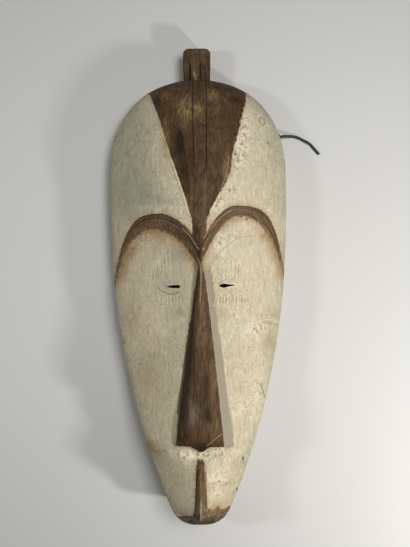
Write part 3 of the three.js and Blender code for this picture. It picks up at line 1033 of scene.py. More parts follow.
    def nose_block(self) -> Solid:
        """The nose, a long wedge with a slightly ridged back and steep sides, cut to a W at its base.

        Returns:
            The nose as one closed solid.
        """
        paint = self.paint
        y = np.linspace(self.nose_line[0][0], self.nose_end_y, self.nose_rows)[:, None]
        middle = height_along(self.nose_middle_line, y)
        flare = height_along(self.nose_flare_line, y)
        below_root = np.maximum(0.0, (paint.nose_root_y - y) / paint.nose_length)
        half = self.nose_root_half + self.nose_spread * below_root
        across = np.linspace(-1.0, 1.0, self.nose_columns)[None, :]
        x_top = middle + across * half
        gap = half * (1.0 - np.abs(across))
        corner = np.minimum(self.nose_corner_round, half / 2.0)
        z_top = height_along(self.nose_line, y) + self.nose_keel_rise * (1.0 - np.abs(across))
        z_top = z_top - corner * (1.0 - clamp01(gap / corner)) ** 2
        lean = self.nose_left_lean * smooth01((-across - 0.45) / 0.5) * smooth01((half - 3.0) / 6.0)
        grain = 0.16 * ripple(x_top * 6.0, y, 9.0, 8) + 0.3 * ripple(x_top, y, 17.0, 9)
        z_top = z_top - lean + grain * clamp01(gap / 1.5)
        drops = np.linspace(0.0, 2.0, self.nose_wall_rows + 1)[1:]
        walls = []
        for side, start in ((1.0, z_top[:, -1:]), (-1.0, z_top[:, :1])):
            x = middle + side * (half + flare * drops)
            z = start - self.nose_wall_depth * drops
            y_wall = np.broadcast_to(y, x.shape)
            x = x + 0.25 * ripple(y_wall, z, 12.0, 10)
            walls.append(np.stack([x, y_wall, z], axis=-1))
        roof = np.stack([x_top, np.broadcast_to(y, x_top.shape), z_top], axis=-1)
        rings = np.concatenate([roof, walls[0], walls[1][:, ::-1]], axis=1)
        nose = Workshop.loft("nose", rings, rings[0].mean(axis=0), rings[-1].mean(axis=0))
        edge = smooth_path(paint.nose_base, 1.0)
        edge[:, 1] += 0.35 * ripple(edge[:, 0], edge[:, 1], 3.0, 12)
        wide, top = self.nose_block_half, self.nose_block_top_y
        plan = [(-wide, top), *map(tuple, edge), (wide, top)]
        Workshop.combine(nose, Workshop.prism("base", plan, *self.nose_block_heights), Join.KEEP)
        return nose

    def knob_plan(self) -> Array:
        """The outline of the knob, with its two round corners.

        Returns:
            The corners of the outline, one row each.
        """
        half, corner, top = self.knob_half_width, self.knob_corner, self.knob_top_y
        turn = np.linspace(0.0, np.pi / 2, 9)
        bend = np.column_stack([half - corner * (1.0 - np.cos(turn)), top - corner * (1.0 - np.sin(turn))])
        root = np.array((self.knob_root_half_width, self.knob_root_y))
        side = root + (bend[0] - root) * np.linspace(0.0, 1.0, 24)[:, None]
        across = np.linspace(half - corner, corner - half, 14)[1:-1]
        end = np.column_stack([across, np.full(len(across), top)])
        mirror = np.array((-1.0, 1.0))
        return np.vstack([side, bend[1:], end, bend[:0:-1] * mirror, side[::-1] * mirror])

    def knob_block(self) -> Solid:
        """The knob on the crown, with softened edges.

        Returns:
            The knob as one closed solid.
        """
        plan, high = self.knob_plan(), self.knob_height
        centre = np.array([0.0, (self.knob_root_y + self.knob_top_y) / 2])
        inward = (centre - plan) / np.linalg.norm(centre - plan, axis=1)[:, None]
        rings = []
        for z in np.linspace(0.0, high, self.knob_layers):
            edge = self.knob_edge_round * (1.0 - clamp01((high - z) / self.knob_edge_depth)) ** 2
            level = np.full(len(plan), z)
            chip = np.abs(0.3 * ripple(plan[:, 0] * 2 + plan[:, 1], level, 9.0, 14)) * (z > 0.0)
            rings.append(np.column_stack([plan + inward * (edge + chip)[:, None], level]))
        top_ring = rings[-1][:, :2]
        for shrink in (0.9, 0.75, 0.55, 0.35, 0.18):
            ring = centre + (top_ring - centre) * shrink
            uneven = high + 0.2 * ripple(ring[:, 0], ring[:, 1], 7.0, 15)
            rings.append(np.column_stack([ring, np.minimum(uneven, high + 0.1)]))
        return Workshop.loft("knob", np.stack(rings), (*centre, 0.0), (*centre, high))

    def hollow_block(self) -> Solid:
        """The hollow at the back, with the shallow scoops of the gouge that cleared it.

        Returns:
            The solid that the hollow takes away.
        """
        head = self.head
        top, bottom = head.crown_y - self.wall_inset, head.chin_y + self.wall_inset
        turn = np.arange(1, self.hollow_rows) / self.hollow_rows * np.pi
        y = top + (bottom - top) * (0.5 - 0.5 * np.cos(turn))[:, None]
        half = head.outline(y, self.wall_inset)
        low = head.edge_height(y) - self.hollow_edge_drop
        roof = np.minimum.reduce([
            head.dome_line(y), height_along(head.cheek_line, y), height_along(head.muzzle_line, y)
        ])
        roof = roof - self.roof_thickness
        share = np.sin((np.arange(self.hollow_columns + 1) / self.hollow_columns - 0.5) * np.pi)[None, :]
        rise = np.maximum(0.0, 1.0 - np.abs(share) ** self.hollow_power) ** self.hollow_fullness
        x = share * half
        row = np.floor(x / self.gouge_width)
        scoop = np.abs(np.sin(np.pi * (y / self.gouge_stroke + 0.37 * row)))
        scoop = scoop * np.abs(np.sin(np.pi * x / self.gouge_width))
        z = low + (roof - low) * rise - self.gouge_depth * (1.0 - scoop) * rise
        arch = np.stack([x, np.broadcast_to(y, x.shape), z], axis=-1)
        feet = [np.stack([side * half, y, np.full_like(y, -1.0)], axis=-1) for side in (1.0, -1.0)]
        rings = np.concatenate([arch, *feet], axis=1)
        return Workshop.loft("hollow", rings, (0.0, top, 5.0), (0.0, bottom, 5.0))

    def band_cut(self, share: float, x_ends: Point2, depth: float, width: float) -> ToolCut:
        """A groove along a brow arch.

        Args:
            share: How far it lies from the crest towards the foot.
            x_ends: Where it starts and ends.
            depth: How deep it is.
            width: How wide it is.

        Returns:
            The cut.
        """
        x = np.linspace(*x_ends, 14)
        crest, foot = self.head.brow(x, BrowEdge.CREST), self.head.brow(x, BrowEdge.FOOT)
        y = crest + (foot - crest) * share
        return ToolCut(tuple(zip(x.tolist(), y.tolist())), depth, width, 0.15, 0.95)

    def tool_cuts(self) -> list[ToolCut]:
        """Every line that the knife left on the front.

        Returns:
            The cuts.
        """
        return [
            *LEFT_EYE.cuts(), *RIGHT_EYE.cuts(), *self.wedge_cuts(), *self.brow_cuts(),
            *self.nose_cuts(), *MOUTH_CUTS, *CHEEK_CUTS,
        ]

    def wedge_cuts(self) -> list[ToolCut]:
        """The cracks and edge lines of the stained wedge, and the scratches high in its middle.

        Returns:
            The cuts.
        """
        paint = self.paint
        high = np.linspace(214.0, 132.0, 9)
        left = tuple(zip(height_along(paint.wedge_left, high).tolist(), high.tolist()))
        low = np.linspace(214.0, 118.0, 12)
        right = tuple(zip(height_along(paint.wedge_right, low).tolist(), low.tolist()))
        dice = np.random.default_rng(21)
        cuts = [
            ToolCut(left, 0.45, 1.4, 0.05, 0.8), ToolCut(right, 0.5, 1.5, 0.05, 0.8),
            ToolCut(((-4.4, 233), (-4.6, 190), (-4.1, 150), (-4.3, 112)), 1.3, 1.2, 0.3, 0.9),
            ToolCut(((11.5, 232), (11.2, 190), (10.4, 150), (10.1, 112)), 1.3, 1.1, 0.3, 0.8),
            ToolCut(
                ((-27.4, 134), (-22.9, 119.7), (-16.3, 99), (-9.9, 78), (-6, 67)),
                0.35, 1.5, 0.2, 0.9, Tone.PALE,
            ),
            ToolCut(((-30.8, 136), (-26, 119.7), (-19, 99)), 0.3, 1.1, 0.2, 0.5),
            ToolCut(((35.4, 139), (31, 115), (22.3, 91.3), (12.6, 71)), 0.35, 1.5, 0.2, 0.8, Tone.PALE),
            ToolCut(((42.6, 163), (39.4, 146), (37, 133)), 0.3, 1.2, 0.2, 0.5, Tone.PALE),
            ToolCut(((43.5, 150), (41.5, 138), (41, 127)), 0.5, 1.2, 0.3, 0.7),
            ToolCut(((-5.6, 110), (-5.5, 90), (-5.6, 70)), 0.25, 1.1, 0.3, 0.5, Tone.PALE),
            ToolCut(((8.6, 106), (8.4, 86), (8.0, 66)), 0.25, 1.1, 0.3, 0.5, Tone.PALE),
        ]
        for x, y in (
            (-12, 211), (-17.5, 202), (-7.6, 206), (-14.3, 193), (-9, 195.5), (-16.5, 183), (1.8, 199),
            (-1.0, 190), (-20.5, 191), (-23.5, 178), (18.8, 217), (16, 207), (-10, 180), (5.5, 192),
            (-27, 186), (6, 207),
        ):
            reach, lean = dice.uniform(2.5, 5.0), dice.uniform(0.15, 0.5)
            ends = ((x + lean * reach, y + reach), (x, y), (x - lean * reach, y - reach))
            cuts.append(ToolCut(ends, 0.25, 1.2, 0.45, dice.uniform(0.4, 0.75), Tone.PALE))
        return cuts

    def brow_cuts(self) -> list[ToolCut]:
        """The grooves along the two brow arches, which close up towards the root of the nose.

        Returns:
            The cuts.
        """
        return [
            self.band_cut(0.3, (-74, -22), 0.4, 1.4),
            self.band_cut(0.02, (-88, -32), 0.3, 1.3),
            self.band_cut(0.03, (30, 92), 0.35, 1.4),
            ToolCut(((-16.6, 58.0), (-8.0, 49.1), (-0.7, 37.3), (1.9, 35.1)), 0.5, 1.3, 0.2, 1.0, Tone.PALE),
            ToolCut(((-14.3, 60.9), (-5.8, 51.6), (1.5, 40.5)), 0.5, 1.3, 0.2, 1.0),
            ToolCut(((-15.6, 52.7), (-8.1, 44.4), (-2.9, 36.9), (1.9, 26.7)), 0.5, 1.4, 0.2, 1.0),
            ToolCut(((3.6, 44.6), (9.0, 52.0), (17.7, 62.5), (28.7, 73.3)), 0.5, 1.4, 0.2, 0.9),
            ToolCut(((5.8, 46.7), (15.5, 59.7), (26.5, 71.1), (37.6, 78.1)), 0.4, 1.3, 0.2, 0.75, Tone.PALE),
            ToolCut(
                ((3.6, 38.2), (11.1, 49.1), (22.1, 62.6), (33.3, 71.8), (46.9, 74.7), (58.5, 73.6),
                 (72.9, 67.0), (82.7, 57.2), (91.8, 40.4), (96.0, 21.9)),
                0.6, 1.5, 0.1,
            ),
            ToolCut(((5.7, 34.1), (15.5, 49.5), (26.6, 64.6), (35.6, 70.5)), 0.4, 1.3, 0.2, 0.8, Tone.PALE),
            ToolCut(((6.1, 29.9), (15.5, 45.5), (24.4, 58.8), (33.4, 67.3)), 0.5, 1.4, 0.2, 1.0),
            ToolCut(((6.6, 25.6), (14.3, 39.5), (23.2, 53.8)), 0.4, 1.3, 0.2, 0.7, Tone.PALE),
            ToolCut(((54.4, 71.5), (60, 71.5), (65, 69.5)), 0.3, 1.2),
            ToolCut(
                ((-18.0, 48.8), (-10.4, 41.0), (-5.1, 34.4), (0.2, 24.7), (2.8, 17.1), (3.3, 7.7),
                 (3.1, -8.1), (1.9, -20.8)),
                0.4, 1.4, 0.1, 1.0, Tone.PALE,
            ),
            ToolCut(((0.4, 22), (1.0, 10.8), (1.2, -4)), 0.3, 1.2, 0.2, 0.8),
        ]

    def nose_cuts(self) -> list[ToolCut]:
        """The lines along the back of the nose and the two scratches at its base.

        Returns:
            The cuts, the listed ones first.
        """
        paint = self.paint
        dice = np.random.default_rng(22)
        cuts = [
            ToolCut(((24.5, -161), (15.4, -168.3), (7.8, -175.0)), 0.3, 1.3, 0.3, 0.75, Tone.PALE),
            ToolCut(((-20.3, -160.5), (-16.6, -165.7), (-12.5, -172.0)), 0.3, 1.2, 0.3, 0.45, Tone.PALE),
            ToolCut(((-0.3, -106), (-0.9, -130), (-1.2, -160)), 0.25, 1.0, 0.3, 0.42, Tone.PALE),
            ToolCut(((3.3, -26), (3.0, -38), (2.0, -52)), 0.25, 1.0, 0.3, 0.5, Tone.PALE),
            ToolCut(((5.8, -24), (6.6, -36), (7.6, -50)), 0.25, 1.0, 0.3, 0.4, Tone.PALE),
        ]
        lowest_y, lines = -158.0, 14
        for place in range(lines):
            top, reach = dice.uniform(-150.0, -50.0), dice.uniform(16.0, 36.0)
            share = -0.8 + 1.6 * (place + dice.uniform(0.2, 0.8)) / lines
            y = np.linspace(top, max(top - reach, lowest_y), 4)
            x = paint.nose_middle(y) + share * paint.nose_half(y)
            tone = Tone.PALE if place % 3 == 0 else Tone.DIRT
            strength = 0.35 if tone is Tone.PALE else 0.7
            cuts.append(ToolCut(tuple(zip(x.tolist(), y.tolist())), 0.22, 0.9, 0.4, strength, tone))
        return cuts

    def scar_cut(self) -> ToolCut:
        """The small oval scar on the right of the forehead.

        Returns:
            The cut round its edge.
        """
        turn = np.linspace(0.3, 2 * np.pi, 12)
        (x, y), (reach_x, reach_y) = self.scar, self.scar_radii
        oval = tuple((x + reach_x * math.cos(a), y + reach_y * math.sin(a)) for a in turn)
        return ToolCut(oval, 0.7, 1.7, 0.1)

    def through_cuts(self) -> list[Solid]:
        """The eye slits, the two cord holes and the small worm hole in the right brow.

        Returns:
            The solids to cut away.
        """
        turn = np.linspace(0.0, 2 * np.pi, 17)[:-1]
        eyes = (LEFT_EYE, RIGHT_EYE)
        cutters = [Workshop.prism("slit", smooth_closed(eye.slit), *self.slit_heights) for eye in eyes]
        round_y = np.cos(turn) * self.cord_hole_radius + self.cord_hole_y
        round_z = np.sin(turn) * self.cord_hole_radius + self.cord_hole_z
        for side in (-1.0, 1.0):
            x_ends = np.sort(np.array(self.cord_hole_ends) * side)
            rings = np.stack([np.column_stack([np.full(len(turn), x), round_y, round_z]) for x in x_ends])
            ends = [(float(x), self.cord_hole_y, self.cord_hole_z) for x in x_ends]
            cutters.append(Workshop.loft("cord_hole", rings, *ends))
        (x, y), (reach_x, reach_y) = self.worm_hole, self.worm_hole_radii
        worm = [(x + reach_x * math.cos(a), y + reach_y * math.sin(a)) for a in turn]
        cutters.append(Workshop.prism("worm_hole", worm, *self.worm_hole_heights))
        return cutters

    def carve(self) -> Solid:
        """Joins and cuts the whole carving. The blades go in by turns, so that few of one group overlap.

        Returns:
            The mask, in millimetres, with nothing painted yet.
        """
        mask = self.head_block()
        Workshop.combine(mask, self.nose_block(), Join.ADD)
        Workshop.combine(mask, self.knob_block(), Join.ADD)
        Workshop.combine(mask, self.hollow_block(), Join.CUT)
        Workshop.combine(mask, Workshop.gather("holes", self.through_cuts()), Join.CUT)
        corners = [vertex.co for vertex in mask.data.vertices]
        surface = BVHTree.FromPolygons(corners, [tuple(face.vertices) for face in mask.data.polygons])
        groups = 6
        for start in range(groups):
            blades = [line.blade(surface) for line in self.lines[start::groups]]
            Workshop.combine(mask, Workshop.gather("blades", blades), Join.CUT)
        return mask

    def nose_wall_shade_note(self, x: Array, y: Array) -> Array:
        """Where painted shade greys the side walls of the nose in plan, the right one out to where its cast
        shadow ends on the cheek, the left one at half strength.

        Args:
            x: Places across the face.
            y: Places along it.

        Returns:
            The strength at each point.
        """
        past = np.abs(x - self.paint.nose_middle(y)) - self.paint.nose_half(y)
        right = smooth01((height_along(self.paint.nose_foot, y) - x) / 0.8) * (x > 0.0)
        left = 0.5 * smooth01((3.0 - past) / 1.2) * (x < 0.0)
        ends = smooth01((y + 187.0) / 5.0) * smooth01((24.0 - y) / 16.0)
        return (right + left) * smooth01(past + 1.0) * ends

    def tan_and_shade_fringe_note(self, x: Array, y: Array) -> Array:
        """The fringe under the brow arches: tan wear, and painted shade below the step of each arch.

        Args:
            x: Places across the face.
            y: Places along it.

        Returns:
            The strength at each point.
        """
        below = -self.head.brow_gap(x, y, BrowEdge.FOOT)
        reach = np.where(x < 0.0, 12.0, 8.5) * (0.6 + 0.4 * smooth01((np.abs(x) - 20.0) / 30.0))
        reach = np.where(below > 0.0, reach * (1.0 + 0.5 * ripple(x, y, 9.0, 35)), 3.5)
        tan_and_shade_fringe = np.exp(-((below / reach) ** 2)) * smooth01((y + 10.0) / 20.0)
        return tan_and_shade_fringe * np.where(x < 0.0, 1.0, 0.8 + 0.2 * smooth01((x - 52.0) / 12.0))

    def paint_notes(self, mask: Solid) -> None:
        """Writes on each vertex how far it lies inside the stain, and where dirt, wear, bare wood and painted
        shade show.

        Args:
            mask: The carved mask, in millimetres.
        """
        head, paint = self.head, self.paint
        x, y, z = Workshop.points_of(mask).T
        half = head.outline(y)
        share = x / np.maximum(half, 1.0)
        skin = np.where(y > head.brow(x, BrowEdge.FOOT), head.forehead(share, y), head.cheek(share, y))
        skin = np.where(y < head.muzzle_top_y, head.muzzle(share, y), skin)
        inside = (np.abs(x) < head.outline(y, self.wall_inset) + 0.6) & (z < skin - 6.0)
        over_edge = z - head.edge_height(y)
        wall = (over_edge < -0.3) & ~inside
        knob = y > head.crown_y - 1.5
        stain = np.where(knob, 6.0, paint.stain_depth(x, y))
        side_stain = -3.0 + 5.0 * smooth01((y - 176.0 + 10.0 * ripple(x + z, y, 14.0, 33)) / 34.0)
        marks = {tone.value: np.zeros(len(x)) for tone in Tone}
        for line in self.lines:
            near = line.nearness(x, y) * ~wall * ~inside
            marks[line.tone.value] = np.maximum(marks[line.tone.value], near)
        edge_gap = np.maximum(half - np.abs(x), 0.0)
        jaw = smooth01((-100.0 - y) / 80.0)
        rubbed = np.exp(-edge_gap / (0.9 + 0.5 * jaw)) * (0.25 + np.where(x < 0.0, 0.75, 0.5) * jaw)
        nose_share = (x - paint.nose_middle(y)) / np.maximum(paint.nose_half(y), 0.1)
        # Painted shade: a darker band along the left slope of the nose's back, which faces away from the
        # light on the right
        lean = smooth01((-0.5 - nose_share) / 0.14) * (nose_share > -1.1)
        lean = lean * smooth01((26.0 - y) / 10.0) * smooth01((y + 174.0) / 20.0)
        chin = smooth01((paint.chin_depth(x, y) + 2.0) / 9.0)
        chin_side = smooth01((-262.0 - y + 6.0 * ripple(x, z, 9.0, 34)) / 14.0)
        tan_and_shade_fringe = self.tan_and_shade_fringe_note(x, y) * ~wall
        wedge_edge = np.exp(-((paint.wedge_depth(x, y) / 4.0) ** 2)) * (x > 0.0) * (y > 60.0)
        under_nose = (y < -190.0) * (y > -206.0)
        band_top = np.maximum(-head.brow_gap(x, y, BrowEdge.CREST), 0.0)
        band_low = np.maximum(head.brow_gap(x, y, BrowEdge.FOOT), 0.0)
        in_band = smooth01(np.minimum(band_top, band_low) / 0.8) * smooth01((np.abs(x) - 5.0) / 3.0)
        # Patina and painted shade: greener and darker towards the outline, widest on the right
        edge_green_and_shade = 0.9 * np.exp(-edge_gap / np.where(x > 0.0, 16.0, 6.0))
        for name, values in {
            "stain": np.where(wall & ~knob, side_stain, stain),
            # The fringe softens the edge of the stain under the brows, partly as painted shade
            "fray_and_shade": 0.8 + np.where(x < 0.0, 3.6, 2.6) * tan_and_shade_fringe + 0.9 * wedge_edge + 1.6 * under_nose,
            "bare": ((z < 0.4) | inside).astype(float),
            "wall": wall.astype(float),
            "tan_and_shade_fringe": tan_and_shade_fringe,
            # Warm holds tan patches and the fringe under the brows, which is partly painted shade
            "warm": np.maximum(spread(WARM_SMUDGES, x, y), tan_and_shade_fringe),
            # The dark note holds dark smudges and, on the nose, the painted shade of its left slope
            "dark": np.maximum(spread(DARK_SMUDGES, x, y), 0.75 * lean),
            "grey": spread(GREY_SMUDGES, x, y),
            "green_and_shade": clamp01(spread(GREEN_AND_SHADE_SMUDGES, x, y) + edge_green_and_shade),
            "rough": spread(ROUGH_SMUDGES, x, y) * ~wall,
            # The slope note is painted shade on the nose's side walls and on the shadow strip beside the
            # right one
            "slope": self.nose_wall_shade_note(x, y) * (z > skin - 1.0) * ~wall,
            "edge": rubbed * smooth01((over_edge + 1.0) / 1.2),
            "chin": np.where(wall, chin_side, chin),
            "band": band_top / np.maximum(band_top + band_low, 0.5),
            "band_on": in_band * ~wall * ~knob,
            "band_way": np.hypot(x, y - 48.0) * 0.01,
            "band_root": clamp01(np.exp(-((x / 40.0) ** 2)) * 0.7 + np.where(x > 0.0, 0.4, 0.05)),
            **marks,
        }.items():
            Workshop.note(mask, name, values)

    def build(self, material: Material) -> Solid:
        """Makes, paints and dresses the mask, hangs it on the root body and hides the CAD part that it
        replaces.

        Args:
            material: The whitened wood.

        Returns:
            The finished mask.
        """
        mask = self.carve()
        mask.name = "carved_mask"
        self.paint_notes(mask)
        Workshop.finish(mask, self.sharp_degrees)
        mask.data.materials.clear()
        mask.data.materials.append(material)
        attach(mask, "root")
        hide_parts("mask")
        return mask


def smooth_closed(points: Line) -> list[Point2]:
    """A closed outline rounded between its points.

    Args:
        points: The points, of which the last joins the first.

    Returns:
        The corners of the rounded outline.
    """
    loop = [points[-1], *points, points[0], points[1]]
    dense = smooth_path(loop, 0.6)
    first = np.array(points[0])
    start = int(np.argmin(np.linalg.norm(dense - first, axis=1)))
    skipped = start + 4
    end = skipped + int(np.argmin(np.linalg.norm(dense[skipped:] - first, axis=1)))
    return [tuple(point) for point in dense[start:end]]


@dataclass
class HangingCord:
    """The black cord: from the left knot across the hollow to the right knot, and its short bare tail."""

    diameter: float = 3.3
    length: float = 272.0
    hole_y: float = 177.0
    hole_z: float = 8.5
    knot_x: float = 98.5
    knot_half: Point3 = (3.7, 4.2, 3.9)
    knot_radius: float = 1.25
    knot_points: int = 90
    strands: int = 3
    strand_relief: float = 0.16
    strand_power: float = 0.7
    twist_length: float = 11.0
    ring_points: int = 18
    step: float = 1.1
    sharp_degrees: float = 60.0
    run: tuple[Point3, ...] = (
        (-84, 177, 8.5), (-77, 176.6, 7.6), (-69.5, 174.6, 4.8), (-61, 171.4, 2.3), (-51, 167, 1.8),
        (-38, 161.5, 1.8), (-22, 156.5, 1.8), (-4, 154.5, 1.8), (14, 156, 1.8), (30, 160, 1.8),
        (45, 165.4, 1.8), (57, 170, 2), (67, 174, 4), (76, 176.5, 7.4), (83, 177, 8.5),
    )
    tail: tuple[Point3, ...] = (
        (107.5, 178.6, 6.6), (114.6, 179.4, 3.4), (120.3, 179.2, 2), (126.1, 177.5, 1.8),
        (132.5, 174.2, 1.8), (140.2, 169.9, 1.8), (145.4, 164.1, 1.8), (151.7, 156.9, 1.8),
    )

    def route(self) -> Array:
        """The whole way of the cord, in millimetres."""
        left, right = ((x, self.hole_y, self.hole_z) for x in (-self.knot_x, self.knot_x))
        return smooth_path([left, *self.run, right, *self.tail], self.step)

    def tube(self, name: str, path: Array, radius: float) -> Solid:
        """A twisted tube along a path.

        Args:
            name: The object's name.
            path: The middle of the tube, in millimetres.
            radius: The distance from the middle to the top of a strand.

        Returns:
            The tube, in millimetres.
        """
        along = np.gradient(path, axis=0)
        along /= np.linalg.norm(along, axis=1)[:, None]
        side = np.cross(along, (0.0, 0.0, 1.0))
        side /= np.maximum(np.linalg.norm(side, axis=1), 1e-9)[:, None]
        up = np.cross(side, along)
        reach = np.concatenate([[0.0], np.cumsum(np.linalg.norm(np.diff(path, axis=0), axis=1))])
        turn = np.linspace(0.0, 2 * np.pi, self.ring_points, endpoint=False)[None, :]
        lay = turn * self.strands - (2 * np.pi * self.strands * reach / self.twist_length)[:, None]
        swell = np.abs(np.cos(lay / 2.0)) ** self.strand_power
        bulge = radius * (1.0 - self.strand_relief + self.strand_relief * swell)
        ring = path[:, None, :] + side[:, None, :] * (np.cos(turn) * bulge)[..., None]
        ring = ring + up[:, None, :] * (np.sin(turn) * bulge)[..., None]
        return Workshop.loft(name, ring, path[0] - along[0] * 0.2, path[-1] + along[-1] * 0.2)

    def knot(self, name: str, side: float) -> Solid:
        """An overhand knot pulled tight, outside one of the holes.

        Args:
            name: The object's name.
            side: Minus one for the left, one for the right.

        Returns:
            The knot, in millimetres.
        """
        t = np.linspace(0.0, 2 * np.pi, self.knot_points)
        across = -np.sin(3 * t) * 0.9
        loops = np.stack([across, np.sin(t) + 2 * np.sin(2 * t), np.cos(t) - 2 * np.cos(2 * t)], axis=1)
        room = np.array(self.knot_half) - self.knot_radius
        loops = loops / np.abs(loops).max(axis=0) * room
        centre = np.array((side * self.knot_x, self.hole_y, self.hole_z))
        return self.tube(name, loops + centre, self.knot_radius)

    def build(self, material: Material) -> list[Solid]:
        """Makes the cord and its knots, hangs them on the root body and hides the CAD parts that they
        replace.

        Args:
            material: The black cord's finish.

        Returns:
            The cord, the left knot and the right knot.
        """
        route = self.route()
        cord = self.tube("cord", route, self.diameter / 2.0)
        knots = [self.knot("knot_left", -1.0), self.knot("knot_right", 1.0)]
        for piece in (cord, *knots):
            Workshop.finish(piece, self.sharp_degrees)
            piece.data.materials.append(material)
            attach(piece, "root")
        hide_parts("hanging_cord", "cord_tail")
        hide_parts("left_knot")
        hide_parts("right_knot")
        return [cord, *knots]


@dataclass(frozen=True)
class Mottle:
    """A pattern of noise fixed to the piece.

    The scale is in waves per metre, a stretch below one draws the waves out along that axis, and the turn
    swings them about Z. The pattern starts to show at low and shows in full at high.
    """

    scale: Value
    detail: float = 3.0
    stretch: Point3 = (1.0, 1.0, 1.0)
    shift: float = 0.0
    roughness: float = 0.55
    turn: float = 0.0
    low: float = 0.0
    high: float = 1.0
    strength: float = 1.0


class NodeBench:
    """Places shader nodes in a material or a group and wires them together."""

    def __init__(self, tree: Tree) -> None:
        """Keeps the tree that the nodes go into."""
        self.tree = tree

    def add(self, kind: str, **settings: object) -> Node:
        """Places one node.

        Args:
            kind: The node's type.
            **settings: Its properties.

        Returns:
            The new node.
        """
        node = self.tree.nodes.new(kind)
        for name, value in settings.items():
            setattr(node, name, value)
        return node

    def wire(self, source: Value, target: Socket) -> None:
        """Joins an output to an input, or sets the input to a plain value.

        Args:
            source: The output or the value.
            target: The input.
        """
        if isinstance(source, Socket):
            self.tree.links.new(source, target)
        else:
            target.default_value = source

    def maths(self, operation: str, *values: Value) -> Socket:
        """One step of arithmetic.

        Args:
            operation: The name of the step.
            *values: The sockets or numbers that it works on.

        Returns:
            The result.
        """
        node = self.add("ShaderNodeMath", operation=operation)
        for value, socket in zip(values, node.inputs):
            self.wire(value, socket)
        return node.outputs[0]

    def times(self, first: Value, second: Value) -> Socket:
        """Two values multiplied."""
        return self.maths("MULTIPLY", first, second)

    def times_plus(self, first: Value, second: Value, more: Value) -> Socket:
        """Two values multiplied, and a third added."""
        return self.maths("MULTIPLY_ADD", first, second, more)

    def rest_of(self, share: Value) -> Socket:
        """What is left of one after a share."""
        return self.maths("SUBTRACT", 1.0, share)

    def span(self, value: Socket, low: float, high: float, out: Point2 = (0.0, 1.0)) -> Socket:
        """Maps a range of values to another, smoothly and held at its ends.

        Args:
            value: The value to map.
            low: Where the range starts.
            high: Where it ends.
            out: The values that its two ends map to.

        Returns:
            The mapped value.
        """
        node = self.add("ShaderNodeMapRange", interpolation_type="SMOOTHSTEP", clamp=True)
        for place, number in enumerate((low, high, *out), start=1):
            node.inputs[place].default_value = number
        self.wire(value, node.inputs[0])
        return node.outputs[0]

    def blend(self, share: Value, first: Value, second: Value) -> Socket:
        """Mixes two colours.

        Args:
            share: How much of the second shows.
            first: The first colour.
            second: The second colour.

        Returns:
            The mixed colour.
        """
        node = self.add("ShaderNodeMix", data_type="RGBA")
        self.wire(share, node.inputs[0])
        for value, socket in ((first, node.inputs[6]), (second, node.inputs[7])):
            self.wire((*value, 1.0) if isinstance(value, tuple) else value, socket)
        return node.outputs[2]

    def even_mix(self, share: Value, first: Value, second: Value) -> Socket:
        """Mixes two numbers.

        Args:
            share: How much of the second shows.
            first: The first number.
            second: The second number.

        Returns:
            The mixed number.
        """
        node = self.add("ShaderNodeMix", data_type="FLOAT")
        for value, socket in zip((share, first, second), (node.inputs[0], node.inputs[2], node.inputs[3])):
            self.wire(value, socket)
        return node.outputs[0]

    def wash(self, colour: Value, tint: Value, mask: Value, strength: float) -> Socket:
        """Lays a tint over a colour where a mask shows."""
        return self.blend(self.times(mask, strength), colour, tint)

    def number(self, name: str) -> Socket:
        """A number that the mesh carries on each vertex."""
        return self.add("ShaderNodeAttribute", attribute_name=name).outputs["Fac"]

    def noise(self, mottle: Mottle) -> Socket:
        """The plain noise of a mottle.

        Args:
            mottle: The pattern.

        Returns:
            The noise, from nought to one.
        """
        place = self.add("ShaderNodeTexCoord").outputs["Object"]
        if mottle.turn:
            turned = self.add("ShaderNodeMapping")
            turned.inputs["Rotation"].default_value = (0.0, 0.0, mottle.turn)
            self.wire(place, turned.inputs["Vector"])
            place = turned.outputs[0]
        mapped = self.add("ShaderNodeMapping")
        mapped.inputs["Scale"].default_value = mottle.stretch
        mapped.inputs["Location"].default_value = (mottle.shift, mottle.shift * 0.7, mottle.shift * 0.3)
        self.wire(place, mapped.inputs["Vector"])
        node = self.add("ShaderNodeTexNoise")
        self.wire(mapped.outputs[0], node.inputs["Vector"])
        self.wire(mottle.scale, node.inputs["Scale"])
        node.inputs["Detail"].default_value = mottle.detail
        node.inputs["Roughness"].default_value = mottle.roughness
        return node.outputs["Fac"]

    def mask(self, mottle: Mottle) -> Socket:
        """Where a mottle shows, from nought to one."""
        return self.span(self.noise(mottle), mottle.low, mottle.high)

    def dapple(self, colour: Value, tint: Colour, mottle: Mottle, where: Value = 1.0) -> Socket:
        """Lays a tint over a colour where a mottle shows, and where a mask lets it."""
        return self.wash(colour, tint, self.times(self.mask(mottle), where), mottle.strength)

    def along_band(self, lines: float, waves: float) -> Socket:
        """Streaks that follow the brow arches.

        Args:
            lines: How many run side by side across the arch.
            waves: How many waves there are in a tenth of a metre along it.

        Returns:
            The noise, from nought to one.
        """
        joined = self.add("ShaderNodeCombineXYZ")
        self.wire(self.times(self.number("band"), lines), joined.inputs[0])
        self.wire(self.times(self.number("band_way"), waves), joined.inputs[1])
        node = self.add("ShaderNodeTexNoise")
        self.wire(joined.outputs[0], node.inputs["Vector"])
        for name, value in (("Scale", 1.0), ("Detail", 4.0), ("Roughness", 0.6)):
            node.inputs[name].default_value = value
        return node.outputs["Fac"]

    def place(self, group: Tree, **inputs: Value) -> Node:
        """Places a node group.

        Args:
            group: The group.
            **inputs: The values of its named inputs.

        Returns:
            The node that holds the group.
        """
        node = self.add("ShaderNodeGroup", node_tree=group)
        for name, value in inputs.items():
            self.wire(value, node.inputs[name.replace("_", " ").capitalize()])
        return node

